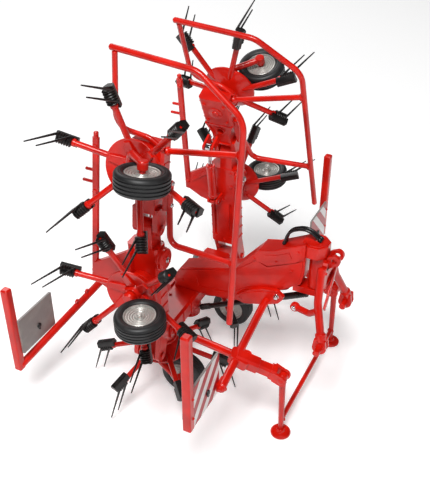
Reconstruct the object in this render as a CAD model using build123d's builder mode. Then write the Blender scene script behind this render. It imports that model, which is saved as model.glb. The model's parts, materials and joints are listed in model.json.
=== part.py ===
"""Scale model, 1:32, of a mounted hay tedder with six rotors, its wings folded up.

Millimetres at the model's own size. X runs to the machine's left, the machine
drives towards -Y, Z is up and the floor is at zero. A wing unit is built in its
own frame: u along the beam away from the centre, v to the rear, w away from the
ground side of the rotor, with the rotor's tine plane at w = 0.
"""

import os
from math import cos, radians, sin, tan

from build123d import *

os.makedirs("parts", exist_ok=True)

RIGHT = -1
LEFT = 1
SIDE_NAME = {RIGHT: "right", LEFT: "left"}

# Wheels
WHEEL_R = 7.6
WHEEL_W = 5.8
RIM_R = 4.8
RIM_BORE_R = 0.95
WHEEL_AHEAD = 8.0
ROUND_SIDES = 32
TREAD_GROOVE = 0.35
GROOVE_W = 0.35
RIB_W = 0.95
SHOULDER_R = 7.0
SHOULDER_IN = 0.1
WALL_R = 5.8
WALL_IN = 0.5
# How far the tyre reaches above the tine plane, and its gap to the dish over it
WHEEL_RISE = 2.1
TYRE_GAP = 0.6
# Along the beam, from the rotor's axis
WHEEL_SHIFT = {"centre": 0.0, "inner": -0.4, "outer": 1.2}

# Bent legs that carry the wheels
LEG_R = 1.05
LEG_ASIDE = 4.4
LEG_BEND = 1.5
STEM_SHORT = 0.5
ELBOW_DROP = 0.2
STEM_PLAY = 0.13
AXLE_CAP_R = 1.5
AXLE_CAP_GAP = 0.15
AXLE_OUT = 0.9

# Rotors
TINE_PLANE_H = 2 * WHEEL_R - WHEEL_RISE
ARMS = 6
ARM_PHASE = -15.0
ARM_R = 0.9
ARM_SEAT = 0.03
ARM_START_R = 3.4
ARM_DROP = 0.83
ARM_END_R = 18.4
# Degrees below the level
ARM_DIP = 18.5037
DISH_R = 8.6
DISH_T = 1.0
DISH_LOW = WHEEL_RISE + TYRE_GAP
DISH_LIP = 0.3
HUB_R = 3.2
HUB_LOW = DISH_LOW + 2.2
HUB_FOOT = DISH_LOW + 3.5
HUB_TOP = HUB_FOOT + 1.0
ARM_START_W = HUB_FOOT - ARM_DROP
ARM_END_W = ARM_START_W - (ARM_END_R - ARM_START_R) * tan(radians(ARM_DIP))
COIL_R = 1.75
COIL_L = 4.4
COIL_SIDES = 12
COIL_HOLD = 0.6
COIL_HOLD_HALF = 0.9
TINE_ROOT_R = 0.45
TINE_TIP_R = 0.2
TINE_SIDES = 6
TINE_SHARES = (0.12, 0.88)
TINE_L = 11.3
TINE_SLANT = 17.6

# Gearboxes and beams of the units, measured up from the tine plane
GEARBOX_GAP = 0.2
GEARBOX_H = 3.0
GEARBOX_R = 4.2
FLANGE_OUT = 0.7
FLANGE_T = 0.9
BEAM_H = 5.8
BEAM_HALF_V = 5.2
BEAM_EDGE = 0.8
GEARBOX_W0 = HUB_TOP + GEARBOX_GAP
BEAM_W0 = GEARBOX_W0 + GEARBOX_H
BEAM_W1 = BEAM_W0 + BEAM_H

# Joints of the wings
FOLD_X = 31.5
FOLD_W = BEAM_W0 + 0.1
FOLD_TO_HUB = 29.0
HINGE_W = BEAM_W0 + 2.9
HUB_TO_HINGE = 19.6
HINGE_TO_HUB = 20.3
PIN_R = 0.9
PIN_PLAY = 0.06
PIN_BORE_R = PIN_R + PIN_PLAY
FORK_GAP = 0.3
FOLD_EYE_R = 2.3
HINGE_EYE_R = 2.4
# Gap to a face that a tube stands against
WELD_GAP = 0.3
# How far a piece's root reaches into what carries it
ROOT_IN = 1.0

# How far the rotors' axes lie behind the outer ones', which y is measured from here
CENTRE_X = 20.3
CENTRE_Y = 3.4
INNER_Y = 1.7
OUTER_Y = 0.2
ORIGIN_TO_HUBS = 4.6
# How far each unit's top leans out, in degrees
LEAN = {
    RIGHT: {"inner": 1.7, "outer": -9.8},
    LEFT: {"inner": -4.5, "outer": -24.8},
}

TUBE_R = 0.9
TUBE_SIDES = 12


def unit_frame(side, x, y, z, lean):
    """Frame of a unit: x along the beam, z away from the ground side."""
    a = radians(lean)
    return Plane(
        origin=(x, y, z),
        x_dir=(side * sin(a), 0, cos(a)),
        z_dir=(-side * cos(a), 0, sin(a)),
    )


def upright(frame):
    """The u-w plane of a unit's frame."""
    return Plane(origin=frame.origin, x_dir=frame.x_dir, z_dir=-frame.y_dir)


def put(frame, u, y, w):
    """World point of a place in a unit's frame."""
    return frame.from_local_coords(Vector(u, y, w))


def inner_frame(side):
    a = radians(LEAN[side]["inner"])
    rise = FOLD_TO_HUB
    drop = -FOLD_W
    x = FOLD_X + rise * sin(a) - drop * cos(a)
    z = TINE_PLANE_H + FOLD_W + rise * cos(a) + drop * sin(a)
    return unit_frame(side, side * x, INNER_Y, z, LEAN[side]["inner"])


def outer_frame(side):
    hinge = put(inner_frame(side), HUB_TO_HINGE, 0, HINGE_W)
    a = radians(LEAN[side]["outer"])
    x = side * hinge.X + HINGE_TO_HUB * sin(a) + HINGE_W * cos(a)
    z = hinge.Z + HINGE_TO_HUB * cos(a) - HINGE_W * sin(a)
    return unit_frame(side, side * x, OUTER_Y, z, LEAN[side]["outer"])


def centre_frame(side):
    return unit_frame(side, side * CENTRE_X, CENTRE_Y, TINE_PLANE_H, 90)


def facing(side, places):
    """Places of a unit whose second column is counted to the machine's rear."""
    return [(u, side * v, w) for u, v, w in places]


# Columns: frame, side, wheel's shift along the beam, side of the wheel that its leg passes
UNITS = {}
for side in (RIGHT, LEFT):
    name = SIDE_NAME[side]
    UNITS["centre_" + name] = (centre_frame(side), side, WHEEL_SHIFT["centre"], 1)
    UNITS["inner_" + name] = (inner_frame(side), side, WHEEL_SHIFT["inner"], -1)
    UNITS["outer_" + name] = (outer_frame(side), side, WHEEL_SHIFT["outer"], 1)


def save(part, label):
    """Write a node, moved so that the origin lies under the middle of the part."""
    node = part.moved(Location((0, ORIGIN_TO_HUBS, 0)))
    node.label = label
    export_step(node, "parts/" + label + ".step")


def tube(frame, points, bend, radius):
    """Bar with many flat sides along straight runs, with bends of one radius."""
    with BuildPart() as bar:
        with BuildLine(frame) as route:
            FilletPolyline(*points, radius=bend)
        with BuildSketch(Plane(origin=route.line @ 0, z_dir=route.line % 0)):
            RegularPolygon(radius, TUBE_SIDES)
        sweep(path=route.line)
    return bar.part


def turned(levels):
    """Solid with many flat sides through (height, radius) levels on the z axis."""
    with BuildPart() as body:
        for (low, low_r), (high, high_r) in zip(levels, levels[1:]):
            if high > low:
                with BuildSketch(Plane.XY.offset(low)):
                    RegularPolygon(low_r, ROUND_SIDES)
                with BuildSketch(Plane.XY.offset(high)):
                    RegularPolygon(high_r, ROUND_SIDES)
                loft(ruled=True)
    return body.part


def rod(start, end, radius):
    """Straight round bar between two world points."""
    run = Vector(*end) - Vector(*start)
    with BuildPart() as bar:
        with BuildSketch(Plane(origin=start, z_dir=run)):
            Circle(radius)
        extrude(amount=run.length)
    return bar.part


# Rotors: red hub with its arms, black spring tines
ARM_L = (ARM_END_R - ARM_START_R) / cos(radians(ARM_DIP))
HUB_BORE_R = LEG_R + STEM_PLAY


def arm_rods(radius, start):
    """Six round arms, each from a little before or after its root."""
    with BuildPart() as rods:
        with PolarLocations(0, ARMS, start_angle=ARM_PHASE):
            with Locations(Location((ARM_START_R, 0, ARM_START_W), (0, 90 + ARM_DIP, 0))):
                with Locations((0, 0, start)):
                    Cylinder(radius, ARM_L - start, align=(Align.CENTER, Align.CENTER, Align.MIN))
    return rods.part


def rotor_solids():
    """Dished hub and six arms, which are solids of their own that seat in its notches."""
    arms = arm_rods(ARM_R, 0)
    with BuildPart() as hub:
        add(turned([(DISH_LOW, DISH_R), (DISH_LOW + DISH_T, DISH_R), (HUB_FOOT, HUB_R), (HUB_TOP, HUB_R)]))
        add(turned([(DISH_LOW, DISH_R - DISH_LIP), (HUB_LOW, HUB_R - DISH_LIP)]), mode=Mode.SUBTRACT)
        Cylinder(HUB_BORE_R, 3 * HUB_TOP, mode=Mode.SUBTRACT)
        add(arm_rods(ARM_R + ARM_SEAT, -ARM_SEAT), mode=Mode.SUBTRACT)
    return [*hub.part.solids(), *arms.solids()]


ROTOR = rotor_solids()


def rotor(frame):
    return Compound(children=[solid.moved(frame.location) for solid in ROTOR])


def spring():
    """Coil with its two tines and the cap that holds it, on an arm along x."""
    dip = radians(ARM_DIP)
    slant = radians(TINE_SLANT)
    along = Plane(origin=(ARM_END_R, 0, ARM_END_W), x_dir=(0, 1, 0), z_dir=(cos(dip), 0, -sin(dip)))
    with BuildPart() as wound:
        with BuildSketch(along):
            RegularPolygon(COIL_R, COIL_SIDES)
        extrude(amount=COIL_L)
        with BuildSketch(along):
            with Locations((0, COIL_R + COIL_HOLD / 2)):
                Rectangle(2 * COIL_HOLD_HALF, COIL_HOLD + COIL_R / 2)
        extrude(amount=COIL_L)
        for share in TINE_SHARES:
            root = (ARM_END_R + share * COIL_L * cos(dip), 0, ARM_END_W - share * COIL_L * sin(dip))
            tip_dir = (sin(slant), 0, -cos(slant))
            with BuildSketch(Plane(origin=root, x_dir=(0, 1, 0), z_dir=tip_dir)):
                RegularPolygon(TINE_ROOT_R, TINE_SIDES)
            tip = [a + TINE_L * b for a, b in zip(root, tip_dir)]
            with BuildSketch(Plane(origin=tip, x_dir=(0, 1, 0), z_dir=tip_dir)):
                RegularPolygon(TINE_TIP_R, TINE_SIDES)
            loft(ruled=True)
    return wound.part


SPRING = spring()


def tines(frame):
    with BuildPart(frame) as springs:
        with PolarLocations(0, ARMS, start_angle=ARM_PHASE):
            add(SPRING)
    return springs.part


# Wheels: black ribbed tyre on a dished rim, turning on the axle of a fixed leg
AXLE_R = RIM_BORE_R - PIN_PLAY


def wheel_place(frame, side, shift):
    return put(frame, shift, -side * WHEEL_AHEAD, WHEEL_R - TINE_PLANE_H)


def wheel_frame(frame, side, shift):
    """Plane at the wheel's middle whose normal is its axle."""
    return Plane(origin=wheel_place(frame, side, shift), x_dir=frame.y_dir, z_dir=frame.x_dir)


def mirrored(levels):
    """Levels of one half, from the outside in, completed with the other half."""
    return levels + [(-height, radius) for height, radius in reversed(levels)]


HALF_W = WHEEL_W / 2
RIB_EDGES = []
for rib in (1, 0):
    inner_edge = -GROOVE_W / 2 - rib * (RIB_W + GROOVE_W)
    RIB_EDGES += [(inner_edge - RIB_W, WHEEL_R), (inner_edge, WHEEL_R)]
    RIB_EDGES += [(inner_edge + GROOVE_W / 2, WHEEL_R - TREAD_GROOVE)]

TYRE_LEVELS = mirrored([(-HALF_W, WALL_R), (-HALF_W + SHOULDER_IN, SHOULDER_R), *RIB_EDGES])


def tyre(frame, side, shift):
    with BuildPart(wheel_frame(frame, side, shift)) as body:
        add(TYRE)
    return body.part


with BuildPart() as tyre_body:
    add(turned(TYRE_LEVELS))
    Cylinder(RIM_R, 2 * WHEEL_W, mode=Mode.SUBTRACT)
TYRE = tyre_body.part

RIM_HALF = HALF_W - WALL_IN
RIM_DEEP = 0.9
RIM_LIP = 0.4
BOSS_R = 1.9
BOSS_OUT = 0.4

with BuildPart() as rim_body:
    Cylinder(RIM_R, 2 * RIM_HALF)
    for way in (1, -1):
        with Locations((0, 0, way * RIM_HALF)):
            Cylinder(RIM_R - RIM_LIP, 2 * RIM_DEEP, mode=Mode.SUBTRACT)
        with Locations((0, 0, way * (RIM_HALF - RIM_DEEP))):
            Cylinder(BOSS_R, 2 * BOSS_OUT)
    Cylinder(RIM_BORE_R, 2 * WHEEL_W, mode=Mode.SUBTRACT)
RIM = rim_body.part


def rim(frame, side, shift):
    with BuildPart(wheel_frame(frame, side, shift)) as body:
        add(RIM)
    return body.part


def wheel_leg(frame, side, shift, way):
    """Stem down through the rotor's hub, arm past the wheel, and the axle."""
    beside = shift + way * LEG_ASIDE
    axle_w = WHEEL_R - TINE_PLANE_H
    ahead = -side * WHEEL_AHEAD
    stem_end = WHEEL_RISE - STEM_SHORT
    route = [(0, 0, GEARBOX_W0), (0, 0, stem_end), (beside, 0, stem_end - ELBOW_DROP), (beside, ahead, axle_w)]
    hub_end = RIM_HALF - RIM_DEEP + BOSS_OUT
    start = put(frame, beside, ahead, axle_w)
    inside = put(frame, shift + way * hub_end, ahead, axle_w)
    end = put(frame, shift - way * (hub_end + AXLE_OUT), ahead, axle_w)
    cap_from = put(frame, shift - way * (hub_end + AXLE_CAP_GAP), ahead, axle_w)
    outwards = (start - inside).normalized()
    with BuildPart() as leg:
        add(tube(frame, route, LEG_BEND, LEG_R))
        add(rod(start + outwards * LEG_R, inside + outwards * AXLE_CAP_GAP, AXLE_CAP_R))
        add(rod(start, end, AXLE_R))
        add(rod(cap_from, end, AXLE_CAP_R))
    return leg.part


for unit, (frame, side, shift, way) in UNITS.items():
    save(rotor(frame), "rotor_" + unit)
    save(tines(frame), "tines_" + unit)
    save(tyre(frame, side, shift), "tyre_" + unit)
    save(rim(frame, side, shift), "rim_" + unit)

for part in ("inner", "outer"):
    for side in (RIGHT, LEFT):
        unit = part + "_" + SIDE_NAME[side]
        save(wheel_leg(*UNITS[unit]), "wheel_leg_" + unit)

with BuildPart() as centre_wheel_legs:
    for side in (RIGHT, LEFT):
        add(wheel_leg(*UNITS["centre_" + SIDE_NAME[side]]))
save(centre_wheel_legs.part, "centre_wheel_legs")


# Outer beams: box over the gearbox, and the tapered plate that carries the clevis
OUTER_HALF = 6.0
OUTER_TOP = BEAM_W0 + 5.2
PLATE_PROUD = 0.2
PLATE_U0 = ROOT_IN / 2 - OUTER_HALF
PLATE_HALF_V = 5.0
NECK_U = -10.0
NECK_HALF_V = 3.2
PLATE_U1 = -15.5
OUTER_HOLE_U = -8.6
OUTER_HOLE_R = 1.2
LUG_HALF = 2.2
FORK_OUT = 4.2
HINGE_PIN_OUT = 0.6

# Inner beams: fold plates at the foot, hinge lug at the end, two channels on top
INNER_U0 = -20.0
INNER_U1 = 13.0
FOLD_PLATE_V = 3.9
FOLD_PLATE_T = 1.5
CHANNEL_U = -9.5
CHANNEL_V = 3.0
CHANNEL_L = 15.0
CHANNEL_W = 1.3
CHANNEL_DEEP = 0.6

# Cylinders that fold the outer units, on top of the inner beams
CYL_U = 1.0
CYL_W = BEAM_W1 + 3.4
CYL_Y = 2.0
EYE_U = -13.5
EYE_W = OUTER_TOP + 3.8
BARREL_R = 1.6
BARREL_L = 14.0
BARREL_GAP = 0.4
BARREL_BASE = 2.0
NECK_W = 1.8
NECK_SINK = 0.4
NECK_L = 0.9
ROD_R = 0.75
ROD_START = 6.0
ROD_SINK = 0.2
EYE_R = 1.3
EYE_HALF = 0.9
EYE_PIN_R = 0.6
ROD_EYE_PLAY = 0.14
EAR_R = 1.2
EAR_T = 0.8
EAR_PIN_OUT = 0.1


def block(frame, u, v, w):
    """Box between pairs of limits in a unit's frame, its edges along the beam chamfered."""
    with BuildPart(frame) as body:
        with Locations(((u[0] + u[1]) / 2, (v[0] + v[1]) / 2, (w[0] + w[1]) / 2)):
            Box(u[1] - u[0], v[1] - v[0], w[1] - w[0])
        chamfer(body.edges().filter_by(Axis(frame.origin, frame.x_dir)), BEAM_EDGE)
    return body.part


def gearbox(frame):
    with BuildPart(frame) as body:
        with Locations((0, 0, GEARBOX_W0)):
            Cylinder(GEARBOX_R, GEARBOX_H, align=(Align.CENTER, Align.CENTER, Align.MIN))
        with Locations((0, 0, GEARBOX_W0)):
            Cylinder(GEARBOX_R + FLANGE_OUT, FLANGE_T, align=(Align.CENTER, Align.CENTER, Align.MIN))
    return body.part


def eye_plate(frame, y, thick, eye, eye_r, bore, root):
    """Plate in the u-w plane that tapers from a root edge to a round eye."""
    plane = Plane(origin=put(frame, 0, y, 0), x_dir=frame.x_dir, z_dir=-frame.y_dir)
    with BuildPart() as plate:
        with BuildSketch(plane):
            with BuildLine():
                Polyline(root[0], root[1], (eye[0], eye[1] + eye_r), (eye[0], eye[1] - eye_r), close=True)
            make_face()
            with Locations(eye):
                Circle(eye_r)
                if bore:
                    Circle(bore, mode=Mode.SUBTRACT)
        extrude(amount=thick / 2, both=True)
    return plate.part


def pin(frame, eye, half_length, radius):
    start = put(frame, eye[0], -half_length, eye[1])
    end = put(frame, eye[0], half_length, eye[1])
    return rod(start, end, radius)


def inner_beam(frame, side):
    fold_root = ((INNER_U0 + ROOT_IN, BEAM_W0), (INNER_U0 + ROOT_IN, BEAM_W1))
    hinge_root = ((INNER_U1 - ROOT_IN, BEAM_W0), (INNER_U1 - ROOT_IN, BEAM_W1))
    fold = (-FOLD_TO_HUB, FOLD_W)
    hinge = (HUB_TO_HINGE, HINGE_W)
    middle = side * (OUTER_Y - INNER_Y)
    with BuildPart() as beam:
        add(gearbox(frame))
        add(block(frame, (INNER_U0, INNER_U1), (-BEAM_HALF_V, BEAM_HALF_V), (BEAM_W0, BEAM_W1)))
        with BuildSketch(frame.offset(BEAM_W1 - CHANNEL_DEEP)):
            with Locations((CHANNEL_U, -CHANNEL_V), (CHANNEL_U, CHANNEL_V)):
                Rectangle(CHANNEL_L, CHANNEL_W)
        extrude(amount=2 * CHANNEL_DEEP, mode=Mode.SUBTRACT)
        for y in (-FOLD_PLATE_V, FOLD_PLATE_V):
            add(eye_plate(frame, y, FOLD_PLATE_T, fold, FOLD_EYE_R, PIN_BORE_R, fold_root))
        add(eye_plate(frame, middle, 2 * LUG_HALF, hinge, HINGE_EYE_R, PIN_BORE_R, hinge_root))
        add(cylinder_lugs(frame, CYL_U, side * CYL_Y, CYL_W, BEAM_W1))
    return beam.part


def cylinder_lugs(frame, u, y, w, seat):
    """Two ears with a pin between them, on a beam's top face."""
    with BuildPart() as lugs:
        for shift in (-1, 1):
            plane = Plane(
                origin=put(frame, 0, y + shift * (EYE_HALF + FORK_GAP + EAR_T / 2), 0),
                x_dir=frame.x_dir,
                z_dir=-frame.y_dir,
            )
            with BuildSketch(plane):
                with Locations((u, w)):
                    Circle(EAR_R)
                with Locations((u, (w + seat) / 2)):
                    Rectangle(2 * EAR_R, w - seat)
            extrude(amount=EAR_T / 2, both=True)
        reach = EYE_HALF + FORK_GAP + EAR_T + EAR_PIN_OUT
        add(rod(put(frame, u, y - reach, w), put(frame, u, y + reach, w), EYE_PIN_R))
    return lugs.part


def outer_beam(frame, side):
    half_plate = [(PLATE_U0, PLATE_HALF_V), (NECK_U, NECK_HALF_V), (PLATE_U1, NECK_HALF_V)]
    outline = half_plate + [(u, -v) for u, v in reversed(half_plate)]
    root = ((PLATE_U1 + ROOT_IN, BEAM_W0), (PLATE_U1 + ROOT_IN, OUTER_TOP))
    hinge = (-HINGE_TO_HUB, HINGE_W)
    inside = LUG_HALF + FORK_GAP
    block_top = OUTER_TOP - PLATE_PROUD
    with BuildPart() as beam:
        add(gearbox(frame))
        add(block(frame, (-OUTER_HALF, OUTER_HALF), (-BEAM_HALF_V, BEAM_HALF_V), (BEAM_W0, block_top)))
        with BuildSketch(frame.offset(BEAM_W0)):
            with BuildLine():
                Polyline(*outline, close=True)
            make_face()
            with Locations((OUTER_HOLE_U, 0)):
                Circle(OUTER_HOLE_R, mode=Mode.SUBTRACT)
        extrude(amount=OUTER_TOP - BEAM_W0)
        for way in (-1, 1):
            middle = way * (inside + FORK_OUT) / 2
            add(eye_plate(frame, middle, FORK_OUT - inside, hinge, HINGE_EYE_R, 0, root))
        add(pin(frame, hinge, FORK_OUT + HINGE_PIN_OUT, PIN_R))
        add(cylinder_lugs(frame, EYE_U, side * (CYL_Y + INNER_Y - OUTER_Y), EYE_W, OUTER_TOP))
    return beam.part


# Guards: bent front tube with its cross tubes and a rear strut, on the outer units
# Columns: u, v, w
GUARD_V = -28.9
GUARD_ROUTE = [(30.6, 11.2, 8.0), (28.3, -15.2, 8.1), (17.7, GUARD_V, 8.6), (-43.9, GUARD_V, 11.6)]
GUARD_BEND = 7.0
CROSS_1 = [(4.0, -BEAM_HALF_V - WELD_GAP, 11.8), (8.4, GUARD_V, 9.1)]
CROSS_2_U = -23.8
BESIDE_BOX_V = -BEAM_HALF_V - TUBE_R - 0.5
CROSS_2 = [
    (CROSS_2_U, GUARD_V, 10.6),
    (CROSS_2_U, -8.0, 12.0),
    (-13.0, BESIDE_BOX_V, 13.2),
    (-5.0, BESIDE_BOX_V, 13.2),
]
CROSS_2_BEND = 2.0
BACK_BAR = [(29.6, 9.5, 8.0), (7.4, 9.5, 9.3)]


def guard(frame, side):
    with BuildPart() as tubes:
        add(tube(frame, facing(side, GUARD_ROUTE), GUARD_BEND, TUBE_R))
        add(tube(frame, facing(side, CROSS_2), CROSS_2_BEND, TUBE_R))
        for bar in (CROSS_1, BACK_BAR):
            start, end = [put(frame, *place) for place in facing(side, bar)]
            add(rod(start, end, TUBE_R))
    return tubes.part


# Rear struts: flat bar up from a plate that is notched round the gearbox
# Columns: u, v, w
STRUT_ENDS = [(44.0, 15.1, 15.2), (-3.5, 17.4, 9.6)]
STRUT_W = 2.2
STRUT_T = 1.2
STRUT_EDGE = 0.4
GEARBOX_SEAT = 0.02
STRUT_PLATE_T = 1.8
STRUT_PLATE_W0 = BEAM_W0 - STRUT_PLATE_T
STRUT_PLATE = [
    (12.0, 3.0, STRUT_PLATE_W0),
    (-8.0, 3.0, STRUT_PLATE_W0),
    (-6.0, 12.0, STRUT_PLATE_W0),
    (-3.0, 17.5, STRUT_PLATE_W0),
    (3.0, 17.2, STRUT_PLATE_W0),
    (8.0, 9.0, STRUT_PLATE_W0),
]


def rear_strut(frame, side):
    top, foot = [put(frame, *place) for place in facing(side, STRUT_ENDS)]
    along = foot - top
    with BuildPart() as strut:
        with BuildSketch(Plane(origin=top, x_dir=frame.y_dir, z_dir=along)):
            RectangleRounded(STRUT_W, STRUT_T, STRUT_EDGE)
        extrude(amount=along.length)
        with BuildSketch(frame.offset(STRUT_PLATE_W0)):
            with BuildLine():
                Polyline(*[(u, v) for u, v, w in facing(side, STRUT_PLATE)], close=True)
            make_face()
        extrude(amount=STRUT_PLATE_T)
        with BuildSketch(frame.offset(STRUT_PLATE_W0)):
            Circle(GEARBOX_R + GEARBOX_SEAT)
        extrude(amount=STRUT_PLATE_T, mode=Mode.SUBTRACT)
    return strut.part


for side in (RIGHT, LEFT):
    name = SIDE_NAME[side]
    inner = UNITS["inner_" + name][0]
    outer = UNITS["outer_" + name][0]
    save(inner_beam(inner, side), "inner_beam_" + name)
    save(outer_beam(outer, side), "outer_beam_" + name)
    save(guard(outer, side), "guard_" + name)
    save(rear_strut(inner, side), "rear_strut_" + name)


# Centre: box beam over the two gearboxes, and the pole that runs forward from it
CENTRE_HALF = 23.2
CENTRE_V0 = TINE_PLANE_H + BEAM_W0
CENTRE_V1 = CENTRE_V0 + BEAM_H
BEAM_Y0 = CENTRE_Y - BEAM_HALF_V
BEAM_Y1 = CENTRE_Y + BEAM_HALF_V
HOUSING_R = 4.0
HOUSING_H = 6.9
FOLD_LUG_HALF = FOLD_PLATE_V - FOLD_PLATE_T / 2 - FORK_GAP
FOLD_PIN_OUT = 0.65
FOLD_PIN_HALF = FOLD_PLATE_V + FOLD_PLATE_T / 2 + FOLD_PIN_OUT
FOLD_ROOT_U = CENTRE_HALF - CENTRE_X - 0.4

with BuildPart() as centre_beam:
    with Locations((0, CENTRE_Y, (CENTRE_V0 + CENTRE_V1) / 2)):
        Box(2 * CENTRE_HALF, 2 * BEAM_HALF_V, CENTRE_V1 - CENTRE_V0)
    chamfer(centre_beam.edges().filter_by(Axis.X), BEAM_EDGE)
    with Locations((0, CENTRE_Y, CENTRE_V0)):
        Cylinder(HOUSING_R, HOUSING_H, align=(Align.CENTER, Align.CENTER, Align.MAX))
    for side in (RIGHT, LEFT):
        frame = UNITS["centre_" + SIDE_NAME[side]][0]
        eye = (FOLD_X - CENTRE_X, FOLD_W)
        root = ((FOLD_ROOT_U, BEAM_W0), (FOLD_ROOT_U, BEAM_W1))
        middle = side * (INNER_Y - CENTRE_Y)
        add(gearbox(frame))
        add(eye_plate(frame, middle, 2 * FOLD_LUG_HALF, eye, FOLD_EYE_R, 0, root))
        start = (side * FOLD_X, INNER_Y - FOLD_PIN_HALF, TINE_PLANE_H + FOLD_W)
        end = (side * FOLD_X, INNER_Y + FOLD_PIN_HALF, TINE_PLANE_H + FOLD_W)
        add(rod(start, end, PIN_R))
save(centre_beam.part, "centre_beam")

POLE_HALF = 3.4
# Columns: y, z
POLE_SIDE = [
    (BEAM_Y1 - ROOT_IN, CENTRE_V1),
    (BEAM_Y0, CENTRE_V1),
    (-15.0, 30.3),
    (-24.4, 35.8),
    (-38.6, 44.8),
    (-39.7, 50.0),
    (-39.7, 60.8),
    (-28.9, 55.0),
    (-24.0, 54.0),
    (-15.6, 44.1),
    (5.0, 38.0),
    (BEAM_Y1 - ROOT_IN, 34.0),
]

SWIVEL_Y = -42.6
SWIVEL_R = 1.2
SWIVEL_PLAY = 0.06
SWIVEL_OUT = 0.8
SWIVEL_SUNK = 0.5
POLE_LUG_R = 2.8
POLE_LUG_BACK = -36.0
LUG_T = 2.2
LUG_LOW_Z = 42.6
CAP_Z0 = 56.4
CAP_Z1 = 61.2
CAP_ACROSS = 8.2
CAP_BACK = 0.6
CAP_SIDES = 8

with BuildPart() as pole:
    with BuildSketch(Plane.YZ):
        with BuildLine():
            Polyline(*POLE_SIDE, close=True)
        make_face()
    extrude(amount=POLE_HALF, both=True)
    with BuildSketch(Plane.XY.offset(LUG_LOW_Z - LUG_T / 2)):
        with Locations((0, SWIVEL_Y)):
            Circle(POLE_LUG_R)
        with Locations((0, (SWIVEL_Y + POLE_LUG_BACK) / 2)):
            Rectangle(2 * POLE_LUG_R, POLE_LUG_BACK - SWIVEL_Y)
    extrude(amount=LUG_T)
    with BuildSketch(Plane.XY.offset(CAP_Z0)):
        with Locations((0, SWIVEL_Y + CAP_BACK)):
            RegularPolygon(CAP_ACROSS / 2, CAP_SIDES, major_radius=False, rotation=180 / CAP_SIDES)
    extrude(amount=CAP_Z1 - CAP_Z0)
    with Locations((0, SWIVEL_Y, (CAP_Z1 + LUG_LOW_Z) / 2)):
        Cylinder(SWIVEL_R + SWIVEL_PLAY, 2 * (CAP_Z1 - LUG_LOW_Z), mode=Mode.SUBTRACT)
save(pole.part, "pole")

# Headstock: bent side tubes round an upright swivel pin, with the three hitch points
LINK_HALF = 13.0
LINK_Y = -50.0
LINK_Z = 31.2
TOP_LINK_Y = -48.6
TOP_LINK_Z = 56.5
HEAD_TUBE_R = 1.3
HEAD_BEND = 6.0
LINK_EYE_R = 2.3
LINK_EYE_T = 3.0
LINK_PIN_R = 1.1
LINK_PIN_L = 9.0
HEAD_Y = -46.4
HEAD_T = 1.6
# Columns: middle's height, width, height
HEAD_PLATES = [(50.0, 12.0, 9.0), (54.6, 8.4, 2.8)]
HEAD_LUG_R = 2.4
TOP_BORE_R = 0.9
TOP_EYE_R = 2.0
TOP_PLATE_X = 1.9
TOP_PLATE_T = 1.2
TOP_PLATE_Z0 = 52.5
TOP_PLATE_Z1 = 57.5
# Columns: x, y, z
HEAD_ROUTE = [(4.6, -45.6, 54.6), (8.6, -46.6, 44.0), (LINK_HALF, LINK_Y, LINK_Z + 1.6)]
TIE_ROUTE = [(-9.3, -46.9, 41.4), (-8.2, -44.0, 38.6), (-6.6, -38.2, 38.4)]
TIE_BEND = 1.5
TIE_R = 1.1

with BuildPart() as headstock_frame:
    for side in (RIGHT, LEFT):
        add(tube(Plane.XY, [(side * x, y, z) for x, y, z in HEAD_ROUTE], HEAD_BEND, HEAD_TUBE_R))
        with BuildSketch(Plane.YZ.offset(side * LINK_HALF)):
            with Locations((LINK_Y, LINK_Z)):
                Circle(LINK_EYE_R)
        extrude(amount=LINK_EYE_T / 2, both=True)
        with Locations(Location((side * LINK_HALF, LINK_Y, LINK_Z), (0, 90, 0))):
            Cylinder(LINK_PIN_R, LINK_PIN_L)
    for z, width, height in HEAD_PLATES:
        with Locations((0, HEAD_Y, z)):
            Box(width, HEAD_T, height)
    with BuildSketch(Plane.XY.offset(LUG_LOW_Z + LUG_T / 2 + FORK_GAP)):
        with Locations((0, SWIVEL_Y)):
            Circle(HEAD_LUG_R)
        with Locations((0, (SWIVEL_Y + HEAD_Y) / 2)):
            Rectangle(2 * HEAD_LUG_R, SWIVEL_Y - HEAD_Y)
    extrude(amount=CAP_Z0 - LUG_LOW_Z - LUG_T / 2 - 2 * FORK_GAP)
    pin_z0 = LUG_LOW_Z - LUG_T / 2 - SWIVEL_OUT
    with Locations((0, SWIVEL_Y, pin_z0)):
        Cylinder(SWIVEL_R, CAP_Z1 - SWIVEL_SUNK - pin_z0, align=(Align.CENTER, Align.CENTER, Align.MIN))
    add(tube(Plane.XY, TIE_ROUTE, TIE_BEND, TIE_R))
    for x in (-TOP_PLATE_X, TOP_PLATE_X):
        with BuildSketch(Plane.YZ.offset(x)):
            with BuildLine():
                Polyline(
                    (HEAD_Y, TOP_PLATE_Z0),
                    (HEAD_Y, TOP_PLATE_Z1),
                    (TOP_LINK_Y, TOP_LINK_Z + TOP_EYE_R),
                    (TOP_LINK_Y, TOP_LINK_Z - TOP_EYE_R),
                    close=True,
                )
            make_face()
            with Locations((TOP_LINK_Y, TOP_LINK_Z)):
                Circle(TOP_EYE_R)
                Circle(TOP_BORE_R, mode=Mode.SUBTRACT)
        extrude(amount=TOP_PLATE_T / 2, both=True)
save(headstock_frame.part, "headstock_frame")

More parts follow.
